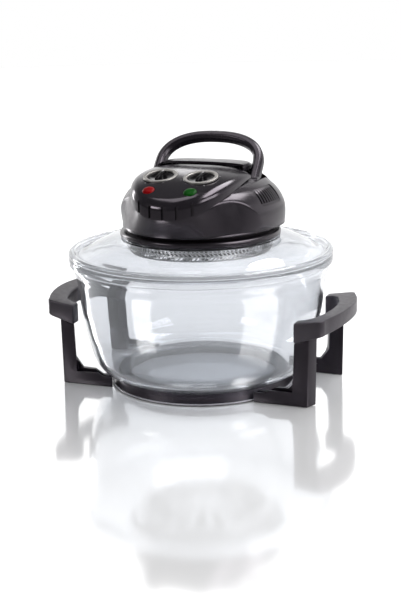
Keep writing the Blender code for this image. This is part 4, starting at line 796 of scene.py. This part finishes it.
def head_point(angle, level, grow=0.0, hollow=True):
    """A point on the head: angle 0 is the right side and -90 degrees the front."""
    width, rear, front = head_shares(angle, min(level, CAP_LEVEL), hollow)
    cap = math.sqrt(max(1 - (max(level - CAP_LEVEL, 0) / (1 - CAP_LEVEL)) ** 2, 0.0))
    # The crown between the handle's feet is boxed; the shoulders below it are round
    power = 2 / (2 + CROWN_SQUARE * smooth_step((level - CROWN_FOOT) / CROWN_FADE))
    across, along = square_off(math.cos(angle), power), square_off(math.sin(angle), power)
    reach = HEAD_REAR * rear if along > 0 else HEAD_FRONT * front
    drop = FOOT_DROP * max(1 - level / 0.3, 0.0)
    return Vector((
        (HEAD_HALF * width + grow) * cap * across,
        HEAD_CENTRE_Y + (reach + grow) * cap * along,
        HEAD_LOW + HEAD_HEIGHT * level - drop + grow * smooth_step(level * 3),
    ))


ROWS_BELOW, ROWS_ROUND, ROWS_ABOVE = 24, 4, 44
HEAD_ROWS = len(FOOT_LIP) - 1 + ROWS_BELOW + ROWS_ROUND + ROWS_ABOVE
# Columns stand closer where the arch's crease climbs
HEAD_COLUMNS = [
    math.radians(turn)
    for turn in (*range(-90, -15), *range(-15, 195, 3), *range(195, 270))
]


def head_skin(u, v):
    """A point of the grid: one of its rows follows the arch's crease all the way round."""
    angle = HEAD_COLUMNS[round(u * len(HEAD_COLUMNS)) % len(HEAD_COLUMNS)]
    row = round(v * HEAD_ROWS)
    if row < len(FOOT_LIP):
        level, lip = FOOT_LIP[row]
        return head_point(angle, level, lip)
    row -= len(FOOT_LIP) - 1
    start = FOOT_LIP[-1][0]
    crease = max(arch_level(angle), LOWEST_CREASE)
    if row <= ROWS_BELOW:
        level = start + (crease - ARCH_ROUND - start) * row / ROWS_BELOW
    elif row <= ROWS_BELOW + ROWS_ROUND:
        level = crease + ARCH_ROUND * (2 * (row - ROWS_BELOW) / ROWS_ROUND - 1)
    else:
        share = (row - ROWS_BELOW - ROWS_ROUND) / ROWS_ABOVE
        level = crease + ARCH_ROUND
        level += (1 - level) * math.sin(share * math.pi / 2) ** 1.15
    return head_point(angle, level)


VISOR_HALF = 70.5 * MM
VISOR_WIDEST_Y = -15 * MM
VISOR_FRONT = 108 * MM
VISOR_REAR = 18.2 * MM
VISOR_TOP_REAR = HEAD_TOP - 2.3 * MM
VISOR_LOW_REAR = VISOR_TOP_REAR - 13.2 * MM
VISOR_TOP_FALL = 29.5 * MM
VISOR_LOW_FALL = 37 * MM
VISOR_CROWN = 9 * MM
VISOR_CENTRE_Y = -50 * MM
VISOR_EDGE = 9 * MM
VISOR_WALL = 3 * MM
# Powers of the rounded rectangles that the visor's plan follows in front and behind
FRONT_POWER, REAR_POWER = 2.3, 6.0
# Where the edge roll starts and ends between the visor's middle and its low edge
ROLL_START, ROLL_END = 0.7, 0.9


def visor_share(y):
    return min(max((VISOR_WIDEST_Y + VISOR_REAR - y) / (VISOR_FRONT + VISOR_REAR), 0.0), 1.0)


def visor_top(x, y):
    crown = VISOR_CROWN * min(abs(x) / VISOR_HALF, 1.0) ** 3
    return VISOR_TOP_REAR - VISOR_TOP_FALL * visor_share(y) ** 2.6 - crown


def visor_low(y):
    return VISOR_LOW_REAR - VISOR_LOW_FALL * visor_share(y) ** 1.9


def visor_plan(share, grow):
    """The shield's outline: a long rounded front and a short squarish rear."""
    across, along = math.cos(math.tau * share), math.sin(math.tau * share)
    reach, power = (VISOR_REAR, REAR_POWER) if along > 0 else (VISOR_FRONT, FRONT_POWER)
    x = (VISOR_HALF + grow) * square_off(across, 2 / power)
    return x, VISOR_WIDEST_Y + (reach + grow) * square_off(along, 2 / power)


def visor_point(u, v, grow=0.0, rise=0.0):
    """v runs from the middle of the top over the edge roll to the low edge."""
    x, y = visor_plan(u, grow)
    roll = min(max((v - ROLL_START) / (ROLL_END - ROLL_START), 0.0), 1.0) * math.pi / 2
    inset = VISOR_EDGE * (1 - math.sin(roll)) / VISOR_HALF
    share = (1 - inset) * min(v / ROLL_START, 1.0)
    px, py = x * share, VISOR_CENTRE_Y + (y - VISOR_CENTRE_Y) * share
    top, low = visor_top(px, py) + grow + rise, visor_low(py) - grow
    edge = min(VISOR_EDGE, (visor_top(px, py) - visor_low(py)) * 0.6)
    z = top - edge * (1 - math.cos(roll))
    if v > ROLL_END:
        z += (low - z) * (v - ROLL_END) / (1 - ROLL_END)
    return px, py, z


VENT_ANGLE = math.radians(-15)
VENT_LOW, VENT_HIGH = HEAD_TOP - 47 * MM, HEAD_TOP - 27.5 * MM
VENT_HALF = 24.5 * MM
PIVOT = Vector((0, 14 * MM, HEAD_TOP - 27.5 * MM))
HANDLE_SPAN = 66.5 * MM
HANDLE_WIDTH = 14.4 * MM
HANDLE_DEPTH = 19 * MM


def vent_frame(side):
    turn = VENT_ANGLE if side > 0 else math.pi - VENT_ANGLE
    return at((0, HEAD_CENTRE_Y, 0), turn)


def rear_shell():
    """The housing's skin, cut for the handle's feet, the vents, the visor and the cord."""
    over, rise, swing_gap = HEAD_TOP + 6 * MM, 12 * MM, 0.9 * MM
    slot_low, slot_front, slot_rear = PIVOT.z - 4 * MM, PIVOT.y - 12.5 * MM, PIVOT.y + 42 * MM
    cuts = [capped(surface(96, 24, lambda u, v: visor_point(u, v, GAP, rise)))]
    for side in (-1, 1):
        middle, half = side * HANDLE_SPAN, HANDLE_WIDTH / 2 + swing_gap
        cuts.append(block(
            (middle - half, slot_front, slot_low), (middle + half, slot_rear, over)
        ))
        window = block((60 * MM, -VENT_HALF, VENT_LOW), (125 * MM, VENT_HALF, VENT_HIGH))
        cuts.append(moved(round_edges(window, 1.5 * MM, 3), vent_frame(side)))
    rear_y, half = VISOR_WIDEST_Y + VISOR_REAR, HANDLE_SPAN - 9.5 * MM
    cuts.append(block((-half, rear_y - 4 * MM, PIVOT.z), (half, rear_y + 6.5 * MM, over)))
    cuts.append(moved(rod(8.3 * MM, 40 * MM, 166 * MM), inlet_frame()))
    piece(
        "head_rear_shell", surface(len(HEAD_COLUMNS), HEAD_ROWS, head_skin), "lid",
        "housing_plastic", housing_gloss, "rear_shell", cuts=cuts, wall=2.5 * MM,
    )


def vent(side, name):
    """A dark louvre panel that follows the housing's curve, with upright fins and two rails."""
    def bend(u, v, depth):
        flat = Vector((0.92 * HEAD_HALF, (u - 0.5) * 2 * (VENT_HALF - GAP), 0))
        spot = Matrix.Rotation(VENT_ANGLE, 4, "Z") @ flat
        z = VENT_LOW + GAP + (VENT_HIGH - VENT_LOW - 2 * GAP) * v
        reach = HEAD_REAR if spot.y > 0 else HEAD_FRONT
        angle = math.atan2(spot.y / reach, spot.x / HEAD_HALF)
        point = head_point(angle, (z - HEAD_LOW) / HEAD_HEIGHT, -depth * MM, hollow=False)
        return point.x, point.y, z

    def panel(across, along, thickness, shape):
        bm = surface(across, along, shape)
        bmesh.ops.solidify(bm, geom=bm.faces[:], thickness=thickness * MM)
        return bm

    back_depth, fin_count = 3.4, 9
    back = panel(24, 8, 1, lambda u, v: bend(u, v, back_depth))
    fins = bmesh.new()
    for i in range(fin_count):
        share = (i + 0.5) / fin_count
        added(fins, panel(1, 8, 2.3, lambda u, v, s=share: bend(s, v, 0.3 + 3.0 * u)))
    for low, high in ((0.0, 0.12), (0.88, 1.0)):
        added(fins, panel(24, 2, 1.6, lambda u, v, a=low, b=high: bend(u, a + (b - a) * v, 0.7)))
    for bm in (back, fins):
        moved(outward(bm), Matrix.Diagonal((side, 1, 1, 1)))
    piece("louvre_" + name, fins, "lid", "black_plastic", housing_gloss, "vent_" + name)
    piece("louvre_back_" + name, back, "lid", "black_plastic", dark_matt)


def inlet_frame():
    """Turns Z to point out of the back at the cord inlet's height."""
    inlet_z = sum(corner.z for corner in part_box("cord_inlet")) / 2
    return at((0, 0, inlet_z), -math.pi / 2, "X")


def cord_inlet():
    profile = near(
        (0, HEAD_CENTRE_Y + HEAD_REAR + GAP), (5.1, 10), (5.6, 9.4), (7.6, 2.6), (10.4, 2.5),
        (11, 1.9), (11, 0), (8, 0), (8, -10), (3.6, -10), (3.6, 9.6), (4, 10),
    )
    bm = moved(turned(profile, 48), inlet_frame())
    piece("cord_gland", bm, "lid", "black_plastic", dark_matt, "cord_inlet")


# Visor and controls

DIAL = Vector((26.4 * MM, -63.7 * MM))
LAMP = Vector((26.7 * MM, -100.9 * MM))
BEZEL_OUT, BEZEL_IN = 21.4 * MM, 17.0 * MM
WELL = 5.5 * MM
# The green lens is the larger of the two
LAMP_RADIUS = {-1: 7.5 * MM, 1: 8.2 * MM}
GROOVES, GROOVE_PITCH = 5, 17.2 * MM
GROOVE_SIZE = (3.6 * MM, 5.0 * MM, 18 * MM)


def panel_frame(side, spot):
    """A frame on the visor's face on one side: its Z axis stands square to the face."""
    x, y, step = side * spot.x, spot.y, 3 * MM
    slope = math.atan2(visor_top(x, y + step) - visor_top(x, y - step), 2 * step)
    return at((x, y, visor_top(x, y)), slope, "X")


def groove_cutters():
    """Upright grooves spread along the visor's front wall."""
    grooves = bmesh.new()
    for i in range(GROOVES):
        x = (i - GROOVES // 2) * GROOVE_PITCH
        share = 1 - (abs(x) / VISOR_HALF) ** FRONT_POWER
        y = VISOR_WIDEST_Y - VISOR_FRONT * share ** (1 / FRONT_POWER)
        turn = math.atan2(x, VISOR_WIDEST_Y - y) * VISOR_HALF / VISOR_FRONT
        bmesh.ops.create_cube(grooves, size=1, matrix=(
            at((x, y, visor_low(y) + 7 * MM), turn) @ Matrix.Diagonal((*GROOVE_SIZE, 1))
        ))
    return grooves


def control_visor():
    over = 6 * MM
    cuts = [groove_cutters()]
    for side in (-1, 1):
        for radius, depth, spot, steps in (
            (BEZEL_OUT + GAP, 1.3, DIAL, 72), (BEZEL_IN, 8, DIAL, 72),
            (LAMP_RADIUS[side] + GAP, 0.5, LAMP, 48),
        ):
            cuts.append(moved(rod(radius, -depth * MM, over, steps), panel_frame(side, spot)))
    piece(
        "head_control_visor", surface(176, 60, visor_point), "lid", "housing_plastic",
        visor_gloss, "control_visor", cuts=cuts, wall=VISOR_WALL,
    )


def bezel(side, name):
    """A chromed ring on the visor's face, and the dark well that the knob turns in."""
    outer, inner, well = (BEZEL_OUT, 0), (BEZEL_IN, 0), (BEZEL_IN, -WELL)
    profile = (
        near(outer, (0, -1), (0, 0.3)) + arc(outer, (-0.6, 0.6), 0.6, 0, 90, 4)
        + arc(inner, (0.8, 0.2), 0.8, 90, 160, 4) + near(inner, (0, -0.6), (0, -1))
    )
    ring = moved(turned(profile), panel_frame(side, DIAL))
    piece(name + "_bezel_ring", ring, "lid", "bezel_chrome", bezel_silver, name + "_bezel")
    profile = (
        near(inner, (-0.05, -1)) + near(well, (-0.05, -1)) + near((0, -WELL), (3.4, -1), (3.4, 0))
        + near(well, (-0.9, 0)) + near(inner, (-0.9, -1))
    )
    cup = moved(turned(profile, 72), panel_frame(side, DIAL))
    piece(name + "_well", cup, "lid", "black_plastic", dark_matt)


def knob(side, name):
    """A gloss disc with a tapered finger bar across it, scooped on both sides."""
    radius, low = BEZEL_IN - 0.8 * MM, -WELL + GAP
    top = low + 4 * MM
    length, rise = radius * 0.93, 6.5 * MM
    edge = (radius, top)
    disc = turned(
        [(0, low), (radius, low)] + arc(edge, (-1, -1), 1, 0, 90, 5)
        + curve_through(near(edge, (-3, -0.1)) + near((radius / 2, top), (0, -0.9)), 4)
        + near((0, top), (0, -1.1))
    )

    def bar(u, v):
        along = math.sin(math.pi * (v - 0.5))
        swell = math.sqrt(max(1 - along ** 4, 0.0))
        flat = square_off(math.cos(math.pi * u), 0.5)
        arch = abs(math.sin(math.pi * u)) ** 0.6
        half = (2.6 + 1.6 * along ** 2) * MM * swell
        return half * flat, along * length, top - 2 * MM + rise * arch * (0.35 + 0.65 * swell)

    bm = added(disc, capped(surface(24, 40, bar)))
    pointer = block(
        (-0.5 * MM, length * 0.45, top + 4.1 * MM), (0.5 * MM, length * 0.8, top + 4.5 * MM)
    )
    here, body = panel_frame(side, DIAL), name + "_dial"
    piece(body + "_knob", moved(bm, here), body, "knob_plastic", knob_gloss, name + "_knob")
    piece(body + "_pointer", moved(pointer, here), body, "grip_plastic", print_ink)


def ticks(side, name, count):
    """Plain printed marks round a dial, with a longer one at every third."""
    sweep, proud, sunk = math.radians(300), 0.06 * MM, 0.2 * MM
    marks = bmesh.new()
    for i in range(count):
        length = (1.0 if i % 3 else 1.7) * MM
        bmesh.ops.create_cube(marks, size=1, matrix=(
            Matrix.Rotation(sweep * (i / (count - 1) - 0.5), 4, "Z")
            @ Matrix.Translation((0, BEZEL_OUT + 1.4 * MM + length / 2, 0))
            @ Matrix.Diagonal((0.4 * MM, length, 0.1 * MM, 1))
        ))
    moved(marks, panel_frame(side, DIAL))
    for mark in marks.verts:
        mark.co.z = visor_top(mark.co.x, mark.co.y) + (proud if mark.index % 2 else -sunk)
    piece(name + "_dial_marks", marks, "lid", "grip_plastic", print_ink)


def lens(side, name, colour_slot, material):
    radius, crest = LAMP_RADIUS[side], 2.9 * MM
    dome = [(0.35, 0.95), (0.7, 0.7), (0.93, 0.3)]
    profile = (
        [(0, crest)] + curve_through([(radius * x, crest * z) for x, z in dome], 4)
        + near((radius, 0), (0, 0.1), (0, -0.4)) + near(AXIS, (5, -0.4), (5, -4.2), (0, -4.2))
    )
    bm = moved(turned(profile, 64), panel_frame(side, LAMP))
    piece("signal_" + name, bm, "lid", colour_slot, material, name)


def controls():
    for side, name, count in ((-1, "timer", 13), (1, "temperature", 11)):
        bezel(side, name)
        knob(side, name)
        ticks(side, name, count)
    lens(-1, "lens_red", "red_lens", red_acrylic)
    lens(1, "lens_green", "green_lens", green_acrylic)

# Carry handle

HANDLE_LEAN = math.radians(42)
HANDLE_STRAIGHT = 28 * MM
HANDLE_REACH = 71 * MM
HANDLE_POWER = 2.35
HANDLE_FOOT = 3.8 * MM
BOSS_RADIUS = 9.3 * MM


def handle_path():
    """Points (x, distance from the pivot axis) along the arch, right foot to left."""
    foot_steps, steps = 6, 28
    right = [
        (HANDLE_SPAN, (HANDLE_STRAIGHT + HANDLE_FOOT) * i / foot_steps - HANDLE_FOOT)
        for i in range(foot_steps)
    ]
    for i in range(steps):
        angle = math.pi / 2 * i / steps
        right.append((
            HANDLE_SPAN * math.cos(angle) ** (2 / HANDLE_POWER),
            HANDLE_STRAIGHT
            + (HANDLE_REACH - HANDLE_STRAIGHT) * math.sin(angle) ** (2 / HANDLE_POWER),
        ))
    return right + [(0.0, HANDLE_REACH)] + [(-x, y) for x, y in reversed(right)]


def handle_section():
    """The corners of the bar's section, which has eight flats."""
    across, through = HANDLE_WIDTH / 2 - 0.6 * MM, HANDLE_DEPTH / 2 - 1.4 * MM
    cut = HANDLE_WIDTH * 0.28
    front = [(across, through - cut), (across, cut - through)]
    side = [(across - cut, -through), (cut - across, -through)]
    return front + side + [(-x, -y) for x, y in front + side]


def carry_handle():
    path, corners = handle_path(), handle_section()
    last = len(path) - 1

    def shape(u, v):
        (x, rise), way = path[round(v * last)], heading(path, round(v * last))
        across, through = corners[round(u * len(corners)) % len(corners)]
        return x + way.y * across, through, rise - way.x * across

    bm = capped(surface(len(corners), last, shape))
    round_edges(bm, 0.9 * MM, 3, math.radians(25))
    boss_half = HANDLE_WIDTH / 2 - 0.2 * MM
    for side in (-1, 1):
        boss = rod(BOSS_RADIUS, -boss_half, boss_half)
        moved(boss, at((side * HANDLE_SPAN, 0, 0), math.pi / 2, "Y"))
        added(bm, round_edges(boss, 0.6 * MM, 2, math.radians(60)))
    moved(bm, at(PIVOT, -HANDLE_LEAN, "X"))
    piece("folding_carry_handle", bm, "handle", "black_plastic", handle_satin, "carry_handle")


# Everything inside keeps its solid and gets its finish

INSIDE_FINISHES = (
    (ceramic, ("tube_holder_left", "tube_holder_right", "terminal_block", "thermostat")),
    (ceramic, ("lamp_left", "lamp_right")),
    (bright_steel, ("motor_shaft", "convection_fan", "pivot_pin_left", "pivot_pin_right")),
    (bright_steel, ("timer_spindle", "temperature_spindle")),
    (dark_steel, ("timer_movement", "motor_bracket")),
    (copper, ("motor",)),
    (dark_matt, ("cooling_fan", "handle_yoke_left", "handle_yoke_right", "safety_switch")),
    (red_acrylic, ("switch_plunger",)),
)


def finish_inside():
    for material, names in INSIDE_FINISHES:
        for name in names:
            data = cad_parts[name].data
            data.materials.clear()
            data.materials.append(material)


# Studio


def camera():
    azimuth, elevation = CAMERA_AZIMUTH, CAMERA_ELEVATION
    back = Vector((
        math.sin(azimuth) * math.cos(elevation), -math.cos(azimuth) * math.cos(elevation),
        math.sin(elevation),
    ))
    level = Vector((math.cos(azimuth), math.sin(azimuth), 0))
    right = Matrix.Rotation(CAMERA_ROLL, 3, back) @ level
    up = back.cross(right)
    data = bpy.data.cameras.new("photo_camera")
    data.sensor_width = SENSOR_MM
    data.lens = FOCAL_PX / FRAME_PX[1] * SENSOR_MM
    data.shift_x = (FRAME_PX[0] / 2 - CENTRE_PX[0]) / FRAME_PX[1]
    data.shift_y = (CENTRE_PX[1] - FRAME_PX[1] / 2) / FRAME_PX[1]
    obj = bpy.data.objects.new("photo_camera", data)
    obj.matrix_world = Matrix.Translation(CAMERA_TARGET + back * CAMERA_DISTANCE) @ Matrix(
        (right, up, back)
    ).transposed().to_4x4()
    studio.objects.link(obj)
    bpy.context.scene.camera = obj


def softbox(name, place, target, size, watts, form="RECTANGLE"):
    """A soft lamp at a place, turned to a target; it stays out of the camera's sight."""
    data = bpy.data.lights.new(name, "AREA")
    data.shape = form
    data.size, data.size_y = size
    data.energy = watts
    obj = bpy.data.objects.new(name, data)
    away = (Vector(place) - Vector(target)).normalized()
    obj.matrix_world = Matrix.Translation(place) @ away.to_track_quat("Z", "Y").to_matrix().to_4x4()
    obj.visible_camera = False
    studio.objects.link(obj)


def seen(material):
    """1 for what the eye sees, straight or through glass, and 0 for light on its way to a piece."""
    path = add(material, "ShaderNodeLightPath")
    return add(material, "ShaderNodeMath", {
        0: path.outputs["Is Camera Ray"], 1: path.outputs["Is Transmission Ray"],
    }, operation="MAXIMUM")


def backdrop():
    """A white sweep behind the oven and a dim room in front; pure white to the eye."""
    world = bpy.data.worlds.new("white_sweep")
    bpy.context.scene.world = world
    world.use_nodes = True
    world.node_tree.nodes.clear()
    way = add(world, "ShaderNodeTexCoord").outputs["Generated"]
    parts = add(world, "ShaderNodeSeparateXYZ", {"Vector": way}).outputs
    low_glow = add(world, "ShaderNodeMapRange", {
        "Value": parts["Z"], "From Min": 0.32, "From Max": 0.62, "To Min": 1.2, "To Max": 0.20,
    })
    sweep = add(world, "ShaderNodeMapRange", {
        "Value": parts["Y"], "From Min": -0.15, "From Max": 0.60,
        "To Min": 0.15, "To Max": low_glow,
    })
    strength = add(world, "ShaderNodeMapRange", {
        "Value": seen(world), "To Min": sweep, "To Max": 1.0,
    })
    shine = add(world, "ShaderNodeBackground", {"Color": (1, 1, 1, 1), "Strength": strength})
    add(world, "ShaderNodeOutputWorld", {"Surface": shine})


def floor():
    """A white gloss table: it takes the oven's shadow and a soft mirror image of its feet."""
    bm = bmesh.new()
    bmesh.ops.create_circle(bm, cap_ends=True, segments=96, radius=6)
    obj = as_object("white_table", bm, studio)
    material = blank("white_gloss_table")
    body = add(material, "ShaderNodeBsdfDiffuse", {"Color": srgb("F4F4F5")})
    mirror = add(material, "ShaderNodeBsdfGlossy", {"Color": (1, 1, 1, 1), "Roughness": 0.10})
    mirror_share = 0.66
    # Away from the oven the table lights up to white, for the eye only
    where = add(material, "ShaderNodeTexCoord").outputs["Object"]
    away = add(material, "ShaderNodeVectorMath", {0: where}, operation="LENGTH").outputs["Value"]
    fill = add(material, "ShaderNodeMapRange", {
        "Value": away, "From Min": 0.22, "From Max": 0.8, "To Min": 0.25, "To Max": 1.1,
    })
    lift = add(material, "ShaderNodeMath", {0: fill, 1: seen(material)}, operation="MULTIPLY")
    lift = add(material, "ShaderNodeEmission", {"Strength": lift})
    lit = add(material, "ShaderNodeAddShader", {0: body, 1: lift})
    table = add(material, "ShaderNodeMixShader", {0: mirror_share, 1: lit, 2: mirror})
    add(material, "ShaderNodeOutputMaterial", {"Surface": table})
    obj.data.materials.append(material)


def lights():
    softbox("top_right_box", (0.62, 0.30, 1.30), (0, 0, 0.25), (1.7, 0.56), 21, "ELLIPSE")
    softbox("right_low_box", (1.35, -0.3, 0.75), (0, 0, 0.25), (0.9, 0.50), 8.5)
    softbox("left_band_box", (-1.3, 0.5, 0.42), (0, 0, 0.25), (0.18, 0.7), 4.5)
    softbox("front_left_box", (-0.78, -1.08, 0.62), (0, 0, 0.25), (0.45, 0.3), 4.0)
    softbox("rear_spot", (-0.55, 1.30, 0.95), (0, -0.045, 0.28), (0.18, 0.40), 0.5)
    softbox("top_box", (-0.3, -0.2, 1.9), (0, 0, 0.2), (0.9, 0.9), 7)


bpy.context.scene.view_settings.view_transform = "Standard"
camera()
backdrop()
floor()
lights()
glass_bowl()
glass_lid()
stand()
clamp_ring()
base_pan()
heat_shield()
fan_guard()
halogen_tube()
rear_shell()
vent(-1, "left")
vent(1, "right")
cord_inlet()
control_visor()
controls()
carry_handle()
finish_inside()
